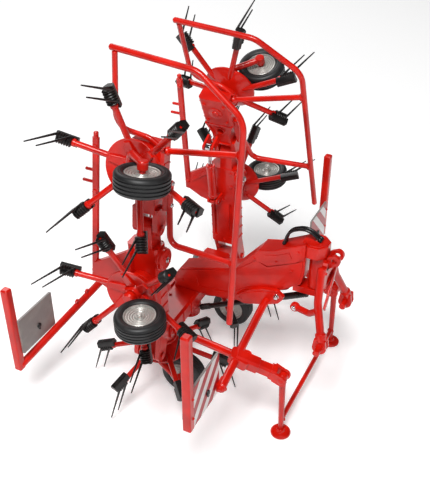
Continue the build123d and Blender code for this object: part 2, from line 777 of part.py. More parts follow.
# Warning boards at the four corners
BOARD_T = 0.8
BOARD_GAP = 0.3
BAR_HALF = 1.35
BAR_EDGE = 0.45
BAR_SLOT = 0.5
FRONT_BAR_X = 57.0
FRONT_BAR_Y = -26.0
FRONT_BAR_Z0 = 25.2
FRONT_BAR_Z1 = 60.4
FRONT_BOARD_W = 16.6
FRONT_BOARD_H = 15.6
FRONT_BOARD_Y = FRONT_BAR_Y - 1.0
FRONT_BOARD_Z = 33.4
FRONT_BOARD_EDGE = FRONT_BAR_X - BAR_HALF + BAR_SLOT
REAR_BAR_X = 49.5
REAR_BAR_Y = 41.9
REAR_BAR_Z0 = 14.8
REAR_BAR_Z1 = 48.0
REAR_BOARD_W = 17.4
REAR_BOARD_H = 14.0
REAR_BOARD_Y = REAR_BAR_Y - 1.7
REAR_BOARD_Z = 28.0
REAR_BOARD_EDGE = REAR_BAR_X - BAR_HALF + BAR_SLOT

# Parking stand: hinge barrels between the holders' ears
STAND_X = 25.0
STAND_PIN_Y = -42.4
STAND_PIN_Z = 24.6
STAND_PIN_R = 0.7
STAND_PIN_L = 5.0
STAND_HINGE_R = 1.6
STAND_HINGE_W = 2.2
STAND_EAR_R = 1.9
STAND_EAR_T = 0.9
STAND_EAR_X = STAND_HINGE_W / 2 + FORK_GAP + STAND_EAR_T / 2

# Front carrier: cross tube under the pole with struts, stand holders and stubs to the boards
CARRIER_R = 1.3
CARRIER_BEND = 2.0
CARRIER_Y = -27.9
JUNCTION = (28.0, -28.1, 30.4)
STUB_END = (42.6, FRONT_BOARD_Y - BOARD_T / 2 - BOARD_GAP - CARRIER_R, 28.6)
# Columns: x, y, z
CARRIER_ROUTE = [(0.0, CARRIER_Y, 36.4), (8.0, CARRIER_Y, 35.7), JUNCTION, STUB_END]
CARRIER_STRUT = [(21.5, BEAM_Y0 - WELD_GAP, 26.8), JUNCTION]
HOLDER_W = 4.4
HOLDER_EDGE = 0.8
HOLDER = [(JUNCTION[0], -28.0, 30.0), (STAND_X, STAND_PIN_Y + 2.4, STAND_PIN_Z + 1.0)]
EAR_BACK_Y = STAND_PIN_Y + 3.0

PLATE_T = 1.5
# Columns: y, z
SWIVEL_PLATE = [
    (-15.0, 33.0),
    (-22.0, 38.5),
    (-26.7, 40.4),
    (-31.3, 41.0),
    (-34.2, 38.9),
    (-32.0, 36.0),
    (-27.9, 34.2),
    (-20.0, 32.0),
]

with BuildPart() as front_carrier:
    for side in (RIGHT, LEFT):
        add(tube(Plane.XY, [(side * x, y, z) for x, y, z in CARRIER_ROUTE], CARRIER_BEND, CARRIER_R))
        start, end = [(side * x, y, z) for x, y, z in CARRIER_STRUT]
        add(rod(start, end, CARRIER_R))
        hold_from, hold_to = [Vector(side * x, y, z) for x, y, z in HOLDER]
        with BuildSketch(Plane(origin=hold_from, x_dir=(1, 0, 0), z_dir=hold_to - hold_from)):
            RectangleRounded(HOLDER_W, HOLDER_W, HOLDER_EDGE)
        extrude(amount=(hold_to - hold_from).length)
        for x in (-STAND_EAR_X, STAND_EAR_X):
            with BuildSketch(Plane.YZ.offset(side * STAND_X + x)):
                with Locations((STAND_PIN_Y, STAND_PIN_Z)):
                    Circle(STAND_EAR_R)
                with BuildLine():
                    Polyline(
                        (STAND_PIN_Y, STAND_PIN_Z + STAND_EAR_R),
                        (EAR_BACK_Y, STAND_PIN_Z + 3.2),
                        (EAR_BACK_Y, STAND_PIN_Z - 0.9),
                        (STAND_PIN_Y, STAND_PIN_Z - STAND_EAR_R),
                        close=True,
                    )
                make_face()
            extrude(amount=STAND_EAR_T / 2, both=True)
        with Locations(Location((side * STAND_X, STAND_PIN_Y, STAND_PIN_Z), (0, 90, 0))):
            Cylinder(STAND_PIN_R, STAND_PIN_L)
        with BuildSketch(Plane.YZ.offset(side * (POLE_HALF + PLATE_T / 2))):
            with BuildLine():
                Polyline(*SWIVEL_PLATE, close=True)
            make_face()
        extrude(amount=PLATE_T / 2, both=True)
save(front_carrier.part, "front_carrier")

# Parking stand: two hinged legs with round feet and a cross-bar
LEG_TUBE_R = 0.9
LEG_TOP_DROP = 1.0
LEG_AHEAD = 0.5
FOOT_R = 3.3
FOOT_T = 1.2
FOOT_SEAT = 0.2
CROSS_BAR_Z = 6.0
CROSS_BAR_AHEAD = 0.4
CROSS_BAR_R = 0.8

with BuildPart() as stand_legs:
    for side in (RIGHT, LEFT):
        x = side * STAND_X
        with Locations(Location((x, STAND_PIN_Y, STAND_PIN_Z), (0, 90, 0))):
            Cylinder(STAND_HINGE_R, STAND_HINGE_W)
        top = (x, STAND_PIN_Y, STAND_PIN_Z - LEG_TOP_DROP)
        add(rod(top, (x, STAND_PIN_Y - LEG_AHEAD, FOOT_T - FOOT_SEAT), LEG_TUBE_R))
        with Locations((x, STAND_PIN_Y - LEG_AHEAD, 0)):
            Cylinder(FOOT_R, FOOT_T, align=(Align.CENTER, Align.CENTER, Align.MIN))
        with Locations(Location((x, STAND_PIN_Y, STAND_PIN_Z), (0, 90, 0))):
            Cylinder(STAND_PIN_R + PIN_PLAY, 2 * STAND_HINGE_W, mode=Mode.SUBTRACT)
    bar_y = STAND_PIN_Y - CROSS_BAR_AHEAD
    add(rod((-STAND_X, bar_y, CROSS_BAR_Z), (STAND_X, bar_y, CROSS_BAR_Z), CROSS_BAR_R))
save(stand_legs.part, "stand_legs")


# Boards and the front ones' bars
def board(edge_x, side, y, z, width, height):
    """Flat board that reaches inwards from its outer edge."""
    with BuildPart() as panel:
        with Locations((side * (edge_x - width / 2), y, z)):
            Box(width, BOARD_T, height)
    return panel.part


for side in (RIGHT, LEFT):
    name = SIDE_NAME[side]
    with BuildPart() as front_board:
        add(board(FRONT_BOARD_EDGE, side, FRONT_BOARD_Y, FRONT_BOARD_Z, FRONT_BOARD_W, FRONT_BOARD_H))
    save(front_board.part, "front_board_" + name)
    with BuildPart() as rear_board:
        add(board(REAR_BOARD_EDGE, side, REAR_BOARD_Y, REAR_BOARD_Z, REAR_BOARD_W, REAR_BOARD_H))
    save(rear_board.part, "rear_board_" + name)
    with BuildPart() as front_bar:
        with BuildSketch(Plane.XY.offset(FRONT_BAR_Z0)):
            with Locations((side * FRONT_BAR_X, FRONT_BAR_Y)):
                RectangleRounded(2 * BAR_HALF, 2 * BAR_HALF, BAR_EDGE)
        extrude(amount=FRONT_BAR_Z1 - FRONT_BAR_Z0)
        add(front_board.part, mode=Mode.SUBTRACT)
    save(front_bar.part, "front_bar_" + name)

# Rear carrier: bent tube behind the centre beam, with the rear boards' bars
REAR_KNEE = (8.0, 34.0, 27.5)
REAR_END = (REAR_BAR_X, REAR_BAR_Y - 0.4, REAR_BAR_Z0 + 1.2)
REAR_BEND = 3.0
REAR_BLOCK_W = 6.0
REAR_BLOCK_H = 3.6
REAR_BLOCK_Z = REAR_KNEE[2] - 0.5

with BuildPart() as rear_carrier:
    knee, end = [Vector(*place) for place in (REAR_KNEE, REAR_END)]
    far_knee, far_end = [Vector(-place.X, place.Y, place.Z) for place in (knee, end)]
    add(tube(Plane.XY, [far_end, far_knee, knee, end], REAR_BEND, CARRIER_R))
    for side in (RIGHT, LEFT):
        with Locations((side * REAR_BAR_X, REAR_BAR_Y, (REAR_BAR_Z1 + REAR_BAR_Z0) / 2)):
            Box(2 * BAR_HALF, 2 * BAR_HALF, REAR_BAR_Z1 - REAR_BAR_Z0)
        slot = board(REAR_BOARD_EDGE, side, REAR_BOARD_Y, REAR_BOARD_Z, REAR_BOARD_W, REAR_BOARD_H)
        add(slot, mode=Mode.SUBTRACT)
    block_y0 = BEAM_Y1 + WELD_GAP
    with Locations((0, (block_y0 + REAR_KNEE[1]) / 2, REAR_BLOCK_Z)):
        Box(REAR_BLOCK_W, REAR_KNEE[1] - block_y0, REAR_BLOCK_H)
save(rear_carrier.part, "rear_carrier")

# Drive shaft under the pole, from the headstock to the middle gearbox
SHAFT_R = 1.15
SHAFT_GAP = 0.6
SHAFT_FRONT = (0, -40.2, 39.6)
SHAFT_BACK = (0, CENTRE_Y - HOUSING_R - SHAFT_GAP, CENTRE_V0 - 3.2)

with BuildPart() as drive_shaft:
    add(rod(SHAFT_FRONT, SHAFT_BACK, SHAFT_R))
save(drive_shaft.part, "drive_shaft")

# Hoses over the pole's head
HOSE_R = 0.5
HOSE_X = 0.7
HOSE_BEND = 5.0
# Columns: y, z
HOSE_ROUTE = [(-31.4, 57.0), (-32.8, 62.4), (-38.6, 64.8), (-43.6, 61.4)]

for side in (RIGHT, LEFT):
    with BuildPart() as hose:
        add(tube(Plane.XY, [(side * HOSE_X, y, z) for y, z in HOSE_ROUTE], HOSE_BEND, HOSE_R))
    save(hose.part, "hose_" + SIDE_NAME[side])


# Cylinders: barrels and rods
def cylinder_axis(side):
    name = SIDE_NAME[side]
    foot = put(UNITS["inner_" + name][0], CYL_U, side * CYL_Y, CYL_W)
    eye = put(UNITS["outer_" + name][0], EYE_U, side * (CYL_Y + INNER_Y - OUTER_Y), EYE_W)
    return foot, eye


def eye_ring(centre, play):
    with BuildPart() as ring:
        with Locations(Location(centre, (90, 0, 0))):
            Cylinder(EYE_R, 2 * EYE_HALF)
            Cylinder(EYE_PIN_R + play, 3 * EYE_HALF, mode=Mode.SUBTRACT)
    return ring.part


for side in (RIGHT, LEFT):
    name = SIDE_NAME[side]
    foot, eye = cylinder_axis(side)
    run = (eye - foot).normalized()
    along = Plane(origin=foot, x_dir=(0, 1, 0), z_dir=run)
    with BuildPart() as barrel:
        with BuildSketch(along.offset(EYE_R + BARREL_GAP)):
            Circle(BARREL_R)
        extrude(amount=BARREL_L)
        with BuildSketch(along.offset(EYE_R + BARREL_GAP + BARREL_BASE)):
            Circle(ROD_R + PIN_PLAY)
        extrude(amount=BARREL_L, mode=Mode.SUBTRACT)
        with BuildSketch(along.offset(EYE_R - NECK_SINK)):
            Rectangle(2 * EYE_HALF, NECK_W)
        extrude(amount=NECK_L)
        add(eye_ring(foot, PIN_PLAY))
    save(barrel.part, "cylinder_barrel_" + name)
    with BuildPart() as cylinder_rod:
        with BuildSketch(along.offset(EYE_R + ROD_START)):
            Circle(ROD_R)
        extrude(amount=(eye - foot).length - 2 * EYE_R - ROD_START + ROD_SINK)
        add(eye_ring(eye, ROD_EYE_PLAY))
    save(cylinder_rod.part, "cylinder_rod_" + name)
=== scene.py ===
"""Studio scene of the 1:32 hay tedder model with its wings folded up.

Metres and the CAD frame outside, millimetres inside: each piece is drawn in millimetres
in a frame of its own, and a placing matrix carries it into the scene.
"""

import json
from math import atan2, cos, degrees, pi, radians, sin, tan, tau

import bmesh
import bpy
from mathutils import Matrix, Vector
from mathutils.geometry import tessellate_polygon

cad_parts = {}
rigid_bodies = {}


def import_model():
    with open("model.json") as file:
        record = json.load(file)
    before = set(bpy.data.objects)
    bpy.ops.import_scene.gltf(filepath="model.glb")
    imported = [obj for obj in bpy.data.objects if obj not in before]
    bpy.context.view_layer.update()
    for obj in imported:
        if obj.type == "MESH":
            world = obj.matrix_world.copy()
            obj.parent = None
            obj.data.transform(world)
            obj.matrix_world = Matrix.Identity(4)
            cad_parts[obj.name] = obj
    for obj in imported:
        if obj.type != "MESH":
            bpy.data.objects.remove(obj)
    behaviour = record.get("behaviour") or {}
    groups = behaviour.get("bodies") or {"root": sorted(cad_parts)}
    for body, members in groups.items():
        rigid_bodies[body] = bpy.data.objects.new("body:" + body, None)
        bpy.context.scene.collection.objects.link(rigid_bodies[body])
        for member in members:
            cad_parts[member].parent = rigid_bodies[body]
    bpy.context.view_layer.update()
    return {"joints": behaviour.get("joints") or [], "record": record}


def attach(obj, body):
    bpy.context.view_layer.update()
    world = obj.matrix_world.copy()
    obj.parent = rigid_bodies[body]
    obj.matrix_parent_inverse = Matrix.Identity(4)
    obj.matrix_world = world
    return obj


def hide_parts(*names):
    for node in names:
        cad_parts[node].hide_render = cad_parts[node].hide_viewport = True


for leftover in list(bpy.data.objects):
    bpy.data.objects.remove(leftover)

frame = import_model()

MM = 0.001
RIGHT = -1
LEFT = 1
SIDES = {"right": RIGHT, "left": LEFT}
JOINTS = {joint["name"]: joint for joint in frame["joints"]}
BODY_OF = {
    node: body
    for body, nodes in frame["record"]["behaviour"]["bodies"].items()
    for node in nodes
}

# Sizes of the solids that several pieces share. Heights of the units count from the tine plane
HUB_TOP = 7.2
GEARBOX_LOW = 7.4
BEAM_LOW = 10.4
BEAM_TOP = 16.2
OUTER_TOP = 15.6
BEAM_HALF = 5.2
BEAM_EDGE = 0.8
# How far a small shape reaches into the one that it stands on
SUNK = 0.05
PIN_R = 0.9
BORE_R = 0.96
TUBE_R = 0.9
CARRIER_R = 1.3
# Bolts: radius, height
BEAM_BOLT = (0.5, 0.4)
SMALL_BOLT = (0.4, 0.3)
BAR_BOLT = (0.42, 0.3)


# Frames of the units, read from the joints

def placing(origin, x_axis, y_axis, z_axis):
    """Matrix from a piece's own millimetres to the scene's metres."""
    place = Matrix.Identity(4)
    for column, axis in enumerate((x_axis, y_axis, z_axis)):
        place.col[column] = (*(axis.normalized() * MM), 0)
    place.col[3] = (*origin, 1)
    return place


def unit_frame(unit):
    """u along the beam, v across it, w away from the ground side, at the rotor's tine plane."""
    rotor_joint = JOINTS["rotor_spin_" + unit]
    w_axis = Vector(rotor_joint["axis"])
    u_axis = Vector(JOINTS["wheel_spin_" + unit]["axis"])
    return placing(Vector(rotor_joint["pos_m"]), u_axis, w_axis.cross(u_axis), w_axis)


UNITS = [kind + "_" + name for kind in ("centre", "inner", "outer") for name in SIDES]
UNIT = {unit: unit_frame(unit) for unit in UNITS}

# The solids' own y is counted from a line just ahead of the outer rotors' axes
OUTER_HUB_Y = 0.2
HUB_LINE_Y = JOINTS["rotor_spin_outer_right"]["pos_m"][1] - OUTER_HUB_Y * MM
WORLD = Matrix.Translation((0, HUB_LINE_Y, 0)) @ Matrix.Scale(MM, 4)


def shifted(place, x=0.0, y=0.0, z=0.0):
    return place @ Matrix.Translation((x, y, z))


def turned(place, angle, axis):
    return place @ Matrix.Rotation(radians(angle), 4, axis)


def looking(place, start, end, side=(1, 0, 0)):
    """Placing at a start point with z towards an end point, in the millimetres of another placing."""
    z_axis = (Vector(end) - Vector(start)).normalized()
    x_axis = Vector(side) - z_axis * z_axis.dot(Vector(side))
    if x_axis.length < 0.01:
        x_axis = Vector((0, 1, 0)) - z_axis * z_axis.y
    x_axis.normalize()
    local = Matrix.Identity(4)
    for column, axis in enumerate((x_axis, z_axis.cross(x_axis), z_axis)):
        local.col[column] = (*axis, 0)
    local.col[3] = (*start, 1)
    return place @ local


def along_beam(place):
    """x across a beam, y away from its ground side, z along it."""
    return place @ Matrix(((0, 0, 1, 0), (1, 0, 0, 0), (0, 1, 0, 0), (0, 0, 0, 1)))


def facing_side(side):
    """x to the rear, y up and z out of one side. The right side's x runs to the front."""
    return along_beam(WORLD) @ Matrix.Diagonal((side, 1, side, 1))


def mirrored(side, points):
    """Points whose first number changes its sign on the right: an x counted out from the middle,
    or a y in the axes of facing_side."""
    return [(side * first, *rest) for first, *rest in points]


def across(side, points):
    """Points of a unit whose second number, v, is counted to the machine's rear."""
    return [(u, side * v, *rest) for u, v, *rest in points]


# Colours and materials

def linear(hex_colour):
    """sRGB hex to linear RGBA."""
    def channel(value):
        value /= 255
        return value / 12.92 if value <= 0.04045 else ((value + 0.055) / 1.055) ** 2.4

    digits = hex_colour.lstrip("#")
    return (*(channel(int(digits[i : i + 2], 16)) for i in (0, 2, 4)), 1.0)


def add_node(material, kind, settings=None, links=None):
    """Adds a node with its settings and the links into it, and returns it."""
    tree = material.node_tree
    node = tree.nodes.new(kind)
    for key, value in (settings or {}).items():
        if isinstance(key, str) and hasattr(node, key):
            setattr(node, key, value)
        else:
            node.inputs[key].default_value = value
    for key, source in (links or {}).items():
        tree.links.new(source, node.inputs[key])
    return node


def new_material(name):
    material = bpy.data.materials.new(name)
    material.use_nodes = True
    material.node_tree.nodes.clear()
    return material


def finish_material(material, shader):
    add_node(material, "ShaderNodeOutputMaterial", links={"Surface": shader.outputs[0]})
    return material


def object_place(material):
    return add_node(material, "ShaderNodeTexCoord").outputs["Object"]


def noise(material, size, detail):
    """Noise with patches of about one size, in millimetres of the piece."""
    settings = {"Scale": 1 / (size * MM), "Detail": detail}
    place = {"Vector": object_place(material)}
    return add_node(material, "ShaderNodeTexNoise", settings, place).outputs[0]


def maths(material, operation, first, second=None):
    """One operation on a link, on a link and a number, or on two links."""
    settings = {"operation": operation}
    links = {0: first}
    if isinstance(second, float):
        settings[1] = second
    elif second is not None:
        links[1] = second
    return add_node(material, "ShaderNodeMath", settings, links).outputs[0]


def ramp(material, source, stops):
    """Colour ramp between two (position, hex colour) stops."""
    node = add_node(material, "ShaderNodeValToRGB", links={"Fac": source})
    for point, (position, colour) in zip(node.color_ramp.elements, stops):
        point.position = position
        point.color = linear(colour)
    return node.outputs["Color"]


def between(material, source, low, high):
    """Value that follows a source between two limits."""
    settings = {"To Min": low, "To Max": high}
    return add_node(material, "ShaderNodeMapRange", settings, {"Value": source}).outputs[0]


def bump(material, source, strength, depth):
    settings = {"Strength": strength, "Distance": depth * MM}
    return add_node(material, "ShaderNodeBump", settings, {"Height": source}).outputs[0]


def surfaced(material, settings, links):
    return finish_material(material, add_node(material, "ShaderNodeBsdfPrincipled", settings, links))


def painted_zinc(name, tone, deep):
    """Glossy enamel over die-cast zinc: even colour that pools a shade darker in patches, with the
    faint orange peel of sprayed paint and broad soft highlights."""
    material = new_material(name)
    pools = noise(material, 9.0, 2.0)
    peel = noise(material, 0.9, 1.5)
    links = {
        "Base Color": ramp(material, pools, [(0.35, deep), (0.62, tone)]),
        "Roughness": between(material, pools, 0.26, 0.4),
        "Normal": bump(material, peel, 0.06, 0.05),
    }
    return surfaced(material, {"IOR": 1.4, "Coat Weight": 0.25, "Coat Roughness": 0.06}, links)


def moulded_plastic(name, tone, worn, roughness, grain):
    """Injection-moulded plastic: dark, with a fine spark-eroded grain and slightly paler rubbed patches."""
    material = new_material(name)
    patches = noise(material, 3.5, 3.0)
    pits = noise(material, grain, 1.0)
    links = {
        "Base Color": ramp(material, patches, [(0.45, tone), (0.75, worn)]),
        "Roughness": between(material, patches, roughness - 0.06, roughness + 0.1),
        "Normal": bump(material, pits, 0.15, 0.03),
    }
    return surfaced(material, {"IOR": 1.49}, links)


def metal_finish(name, tone, deep, metallic, roughness):
    """Bright metal or metallic lacquer: fine flakes that break the highlight, with painted shade that makes
    the hollows of their bump greyer.
    """
    material = new_material(name)
    flakes_and_hollow_shade = noise(material, 0.25, 2.0)
    links = {
        # The deep colour falls where the bump is low: painted shade in the hollows, over the flakes' random
        # tone
        "Base Color": ramp(material, flakes_and_hollow_shade, [(0.3, deep), (0.7, tone)]),
        "Normal": bump(material, flakes_and_hollow_shade, 0.1, 0.02),
    }
    return surfaced(material, {"Metallic": metallic, "Roughness": roughness}, links)


STRIPE_PITCH = 7.6
# Where white ends and red starts, over the 0.5 from one stripe's middle to the next one's
WHITE_TO = 0.235
RED_FROM = 0.262


def striped_board(name):
    """Printed white board with red stripes at 45 degrees, under thin clear lacquer. The stripes are
    laid on the face's own plane, in millimetres, with slightly soft printed edges."""
    material = new_material(name)
    axes = add_node(material, "ShaderNodeSeparateXYZ", links={"Vector": object_place(material)})
    slant = maths(material, "ADD", maths(material, "ABSOLUTE", axes.outputs["X"]), axes.outputs["Z"])
    count = maths(material, "MULTIPLY", slant, 1 / (STRIPE_PITCH * MM))
    wrap = maths(material, "PINGPONG", count, 0.5)
    dust = noise(material, 2.5, 3.0)
    links = {
        "Base Color": ramp(material, wrap, [(WHITE_TO, "#EDEBE9"), (RED_FROM, "#B01823")]),
        "Roughness": between(material, dust, 0.28, 0.42),
    }
    return surfaced(material, {"IOR": 1.5}, links)


RED = painted_zinc("red_enamel_on_zinc", "#DB1704", "#C01003")
BLACK = moulded_plastic("black_moulded_nylon", "#0E0B0B", "#1D1918", 0.34, 0.18)
RUBBER = moulded_plastic("black_soft_pvc_tyre", "#1A1A1B", "#262627", 0.46, 0.3)
HOSE = moulded_plastic("black_gloss_abs_hose", "#101012", "#1B1B1D", 0.24, 0.5)
# The second colour of the rim and of the rod is painted shade for the hollows of their flakes
RIM = metal_finish("silver_lacquered_rim", "#C3C1BC", "#A8A6A0", 0.55, 0.34)
BRIGHT = metal_finish("plated_steel_rod", "#D6D7D8", "#B9BABB", 1.0, 0.16)
BACK = moulded_plastic("grey_abs_board_back", "#8E8A87", "#9B9793", 0.42, 0.4)
BOARD = striped_board("striped_board_print")


# Shapes, added to a bmesh in the millimetres of a placing

# Below this turn, in radians, a corner stays sharp
LEAST_TURN = 0.02
# Arcs of a bent bar have a fixed number of steps, those of a plate's corners steps of one size
BEND_STEPS = 7
DEGREES_A_STEP = 12
WASHER_T = 0.16
WASHER_SHARE = 1.35


def add_face(bm, corners, material=0, smooth=True):
    made = bm.faces.new(corners)
    made.smooth = smooth
    made.material_index = material


def add_faces(bm, place, points, faces, material=0):
    verts = [bm.verts.new(place @ Vector(point)) for point in points]
    for face in faces:
        add_face(bm, [verts[i] for i in face], material)


def add_prism(bm, place, outline, low, high, scale_top=1.0, material=0):
    """Outline in x and y, pushed from z low to z high."""
    count = len(outline)
    area = sum(a[0] * b[1] - b[0] * a[1] for a, b in zip(outline, [*outline[1:], outline[0]]))
    if area < 0:
        outline = outline[::-1]
    points = [(x, y, low) for x, y in outline] + [(x * scale_top, y * scale_top, high) for x, y in outline]
    faces = [tuple(range(count))[::-1], tuple(range(count, 2 * count))]
    for i in range(count):
        j = (i + 1) % count
        faces.append((i, j, count + j, count + i))
    add_faces(bm, place, points, faces, material)


def add_holed_prism(bm, place, outline, holes, low, high):
    """Plate with holes right through it, all of them loops in x and y."""
    flat = [[Vector((x, y, 0)) for x, y in loop] for loop in (outline, *holes)]
    triangles = tessellate_polygon(flat)
    points = [point for loop in flat for point in loop]
    count = len(points)
    faces = [tuple(corners) for corners in triangles]
    faces += [tuple(corner + count for corner in corners) for corners in triangles]
    start = 0
    for loop in flat:
        for i in range(len(loop)):
            j = (i + 1) % len(loop)
            faces.append((start + i, start + j, count + start + j, count + start + i))
        start += len(loop)
    levels = [(point.x, point.y, level) for level in (low, high) for point in points]
    add_faces(bm, place, levels, faces)


def chamfered(x, y, cut):
    """Rectangle between pairs of limits with its corners cut off."""
    return [
        (x[0] + cut, y[0]), (x[1] - cut, y[0]), (x[1], y[0] + cut), (x[1], y[1] - cut),
        (x[1] - cut, y[1]), (x[0] + cut, y[1]), (x[0], y[1] - cut), (x[0], y[0] + cut),
    ]


def around(middle, half):
    return (middle - half, middle + half)


def add_box(bm, place, x, y, z):
    """Box between pairs of limits."""
    add_prism(bm, place, [(x[0], y[0]), (x[1], y[0]), (x[1], y[1]), (x[0], y[1])], z[0], z[1])


def add_bar(bm, place, half_x, half_y, cut, low, high):
    """Bar of chamfered rectangular section about a placing's z axis."""
    add_prism(bm, place, chamfered((-half_x, half_x), (-half_y, half_y), cut), low, high)


def circle(radius, steps, centre=(0, 0), start=0.0, sweep=tau):
    closed = abs(sweep - tau) < 1e-6
    angles = [start + sweep * i / steps for i in range(steps if closed else steps + 1)]
    return [(centre[0] + radius * cos(angle), centre[1] + radius * sin(angle)) for angle in angles]


def disc(radius, low, high):
    """Profile of a plain round disc."""
    return [(0, low), (radius, low), (radius, high), (0, high)]


def add_lathe(bm, place, profile, steps, material=0):
    """Turns (radius, height) points about z. A profile that ends on the axis closes there."""
    rings = []
    for radius, height in profile:
        loop = circle(radius, steps) if radius else [(0, 0)]
        rings.append([bm.verts.new(place @ Vector((x, y, height))) for x, y in loop])
    for lower, upper in zip(rings, rings[1:]):
        for i in range(steps):
            j = (i + 1) % steps
            spots = [(lower, i), (lower, j), (upper, j), (upper, i)]
            corners = list(dict.fromkeys(ring[spot % len(ring)] for ring, spot in spots))
            if len(corners) > 2:
                add_face(bm, corners, material)


def rounded_corner(before, corner, after, radius, share, steps=None):
    """Points of the arc that rounds a corner and takes no more than a share of either leg."""
    back = (before - corner).normalized()
    on = (after - corner).normalized()
    turn = pi - back.angle(on)
    if turn < LEAST_TURN:
        return [corner]
    reach = min(radius * tan(turn / 2), share * (before - corner).length, share * (after - corner).length)
    radius = reach / tan(turn / 2)
    centre = corner + (back + on).normalized() * (radius / cos(turn / 2))
    first = corner + back * reach - centre
    steps = steps or max(2, int(degrees(turn) / DEGREES_A_STEP))
    angles = [turn * step / steps for step in range(steps + 1)]
    return [centre + first * cos(angle) - back * (radius * sin(angle)) for angle in angles]


def rounded_route(points, bend):
    """Points of a bent bar's centre line: straight runs joined by arcs of one radius."""
    points = [Vector(point) for point in points]
    route = points[:1]
    for before, corner, after in zip(points, points[1:], points[2:]):
        route += rounded_corner(before, corner, after, bend, 0.48, BEND_STEPS)
    return route + points[-1:]


def add_tube(bm, place, points, radius, bend=1.0, sides=22, end_radius=None, flat=1.0, cap=0.25):
    """Bent round bar with slightly domed ends. flat squeezes it across its first side direction, and
    cap is the share of the radius that the ends are rounded by."""
    route = rounded_route(points, bend)
    last = len(route) - 1
    lengths = [0.0]
    for a, b in zip(route, route[1:]):
        lengths.append(lengths[-1] + (b - a).length)
    taper = (end_radius or radius) - radius
    sideways = (route[1] - route[0]).normalized().orthogonal().normalized()
    rings = []
    for index, centre in enumerate(route):
        along = (route[min(index + 1, last)] - route[max(index - 1, 0)]).normalized()
        sideways = (sideways - along * along.dot(sideways)).normalized()
        up = along.cross(sideways)
        size = radius + taper * lengths[index] / lengths[-1]
        spots = [(0, 1)]
        if index == 0:
            spots = [(0, 1 - cap), (cap, 1)]
        if index == last:
            spots = [(-cap, 1), (0, 1 - cap)]
        for forward, share in spots:
            middle = centre + along * (size * forward)
            wide = size * share
            corners = [middle + sideways * (x * wide * flat) + up * (y * wide) for x, y in circle(1.0, sides)]
            rings.append([bm.verts.new(place @ corner) for corner in corners])
    for lower, upper in zip(rings, rings[1:]):
        for i in range(sides):
            j = (i + 1) % sides
            add_face(bm, (lower[i], lower[j], upper[j], upper[i]))
    for end in (rings[0][::-1], rings[-1]):
        add_face(bm, end, smooth=False)


def add_bolt(bm, place, radius, height, washer=True, material=0):
    """Hexagon head on its washer, domed by a chamfer. z points out of the surface."""
    base = 0.0
    if washer:
        add_lathe(bm, place, disc(radius * WASHER_SHARE, 0, WASHER_T), 24, material)
        base = WASHER_T
    top = base + height * 0.8
    add_prism(bm, place, circle(radius, 6), base, top, material=material)
    dome = [(radius * 0.84, -0.01), (radius * 0.72, height * 0.2), (0, height * 0.26)]
    add_lathe(bm, shifted(place, z=top), dome, 18, material)


def add_round_plate(bm, place, corners, low, high):
    """Plate whose outline runs round corners given as (x, y, radius), hull-like and convex."""
    spots = [Vector(corner[:2]) for corner in corners]
    outline = []
    for before, here, after, corner in zip(spots[-1:] + spots, spots, spots[1:] + spots[:1], corners):
        outline += [tuple(point) for point in rounded_corner(before, here, after, corner[2], 0.49)]
    add_prism(bm, place, outline, low, high)


def add_object(name, data):
    made = bpy.data.objects.new(name, data)
    bpy.context.scene.collection.objects.link(made)
    return made


def add_mesh_object(name, bm, materials):
    """New object of a bmesh, which is used up."""
    mesh = bpy.data.meshes.new(name)
    bm.to_mesh(mesh)
    bm.free()
    for material in materials:
        mesh.materials.append(material)
    return add_object(name, mesh)


def make_piece(name, bm, materials, node, bevel=0.14):
    """Turns a bmesh into a finished piece that stands for its CAD node and rides on its body."""
    bmesh.ops.recalc_face_normals(bm, faces=bm.faces)
    piece = add_mesh_object(name, bm, materials)
    edge = piece.modifiers.new("soft_edges", "BEVEL")
    edge.width = bevel * MM
    edge.segments = 2
    edge.limit_method = "ANGLE"
    edge.angle_limit = radians(38)
    edge.harden_normals = True
    edge.use_clamp_overlap = True
    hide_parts(node)
    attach(piece, BODY_OF[node])


# Rotors

ARMS = 6
ARM_PHASE = -15.0
# Columns: distance from the axis, height over the tine plane
ARM_START = (6.0, 4.5)
ARM_END = (18.4, 0.35)
ARM_R = 0.9
ARM_SLOPE = (ARM_START[1] - ARM_END[1]) / (ARM_END[0] - ARM_START[0])
ARM_DIP = degrees(atan2(ARM_START[1] - ARM_END[1], ARM_END[0] - ARM_START[0]))
# Where an arm's tube starts, from the axis, and how far past ARM_START it bends to its slope
ARM_INNER_R = 2.6
ARM_KNEE = 1.2
HUB_BORE_R = 1.18
DISH_R = 8.6
HUB_PROFILE = [
    (HUB_BORE_R, HUB_TOP), (2.9, HUB_TOP), (3.1, HUB_TOP - 0.3), (3.1, 6.3), (4.4, 5.75),
    (DISH_R - 0.5, 3.95), (DISH_R, 3.5), (DISH_R, 2.85), (DISH_R - 0.45, 2.9), (5.2, 4.1),
    (3.0, 4.75), (2.5, 4.1), (2.3, 3.0), (HUB_BORE_R, 3.0), (HUB_BORE_R, HUB_TOP),
]
ARM_BEND = 6.0
ARM_ROOT = [(3.0, -1.5), (8.1, -1.0), (8.1, 1.0), (3.0, 1.5)]
ARM_ROOT_W = 5.05
ARM_ROOT_DIP = 17.0
COLLAR_BACK = 1.0
COLLAR_L = 0.9
COIL_R = 1.75
COIL_L = 4.4
COIL_TURNS = 6
COIL_PITCH = COIL_L / COIL_TURNS
WIRE = COIL_PITCH * 0.5
HOLDER = [(-2.35, -0.9), (-2.35, 0.9), (-0.9, 1.45), (-0.4, 1.45), (-0.4, -1.45), (-0.9, -1.45)]
HOLDER_RIB = [(-2.6, -0.5), (-2.6, 0.5), (-1.2, 0.8), (-1.2, -0.8)]
TINE_L = 11.3
TINE_SLANT = 17.6
TINE_R = 0.4
TINE_TIP_R = 0.2
# Where the two tines leave the coil, as shares of its length
TINE_SHARES = (0.12, 0.88)
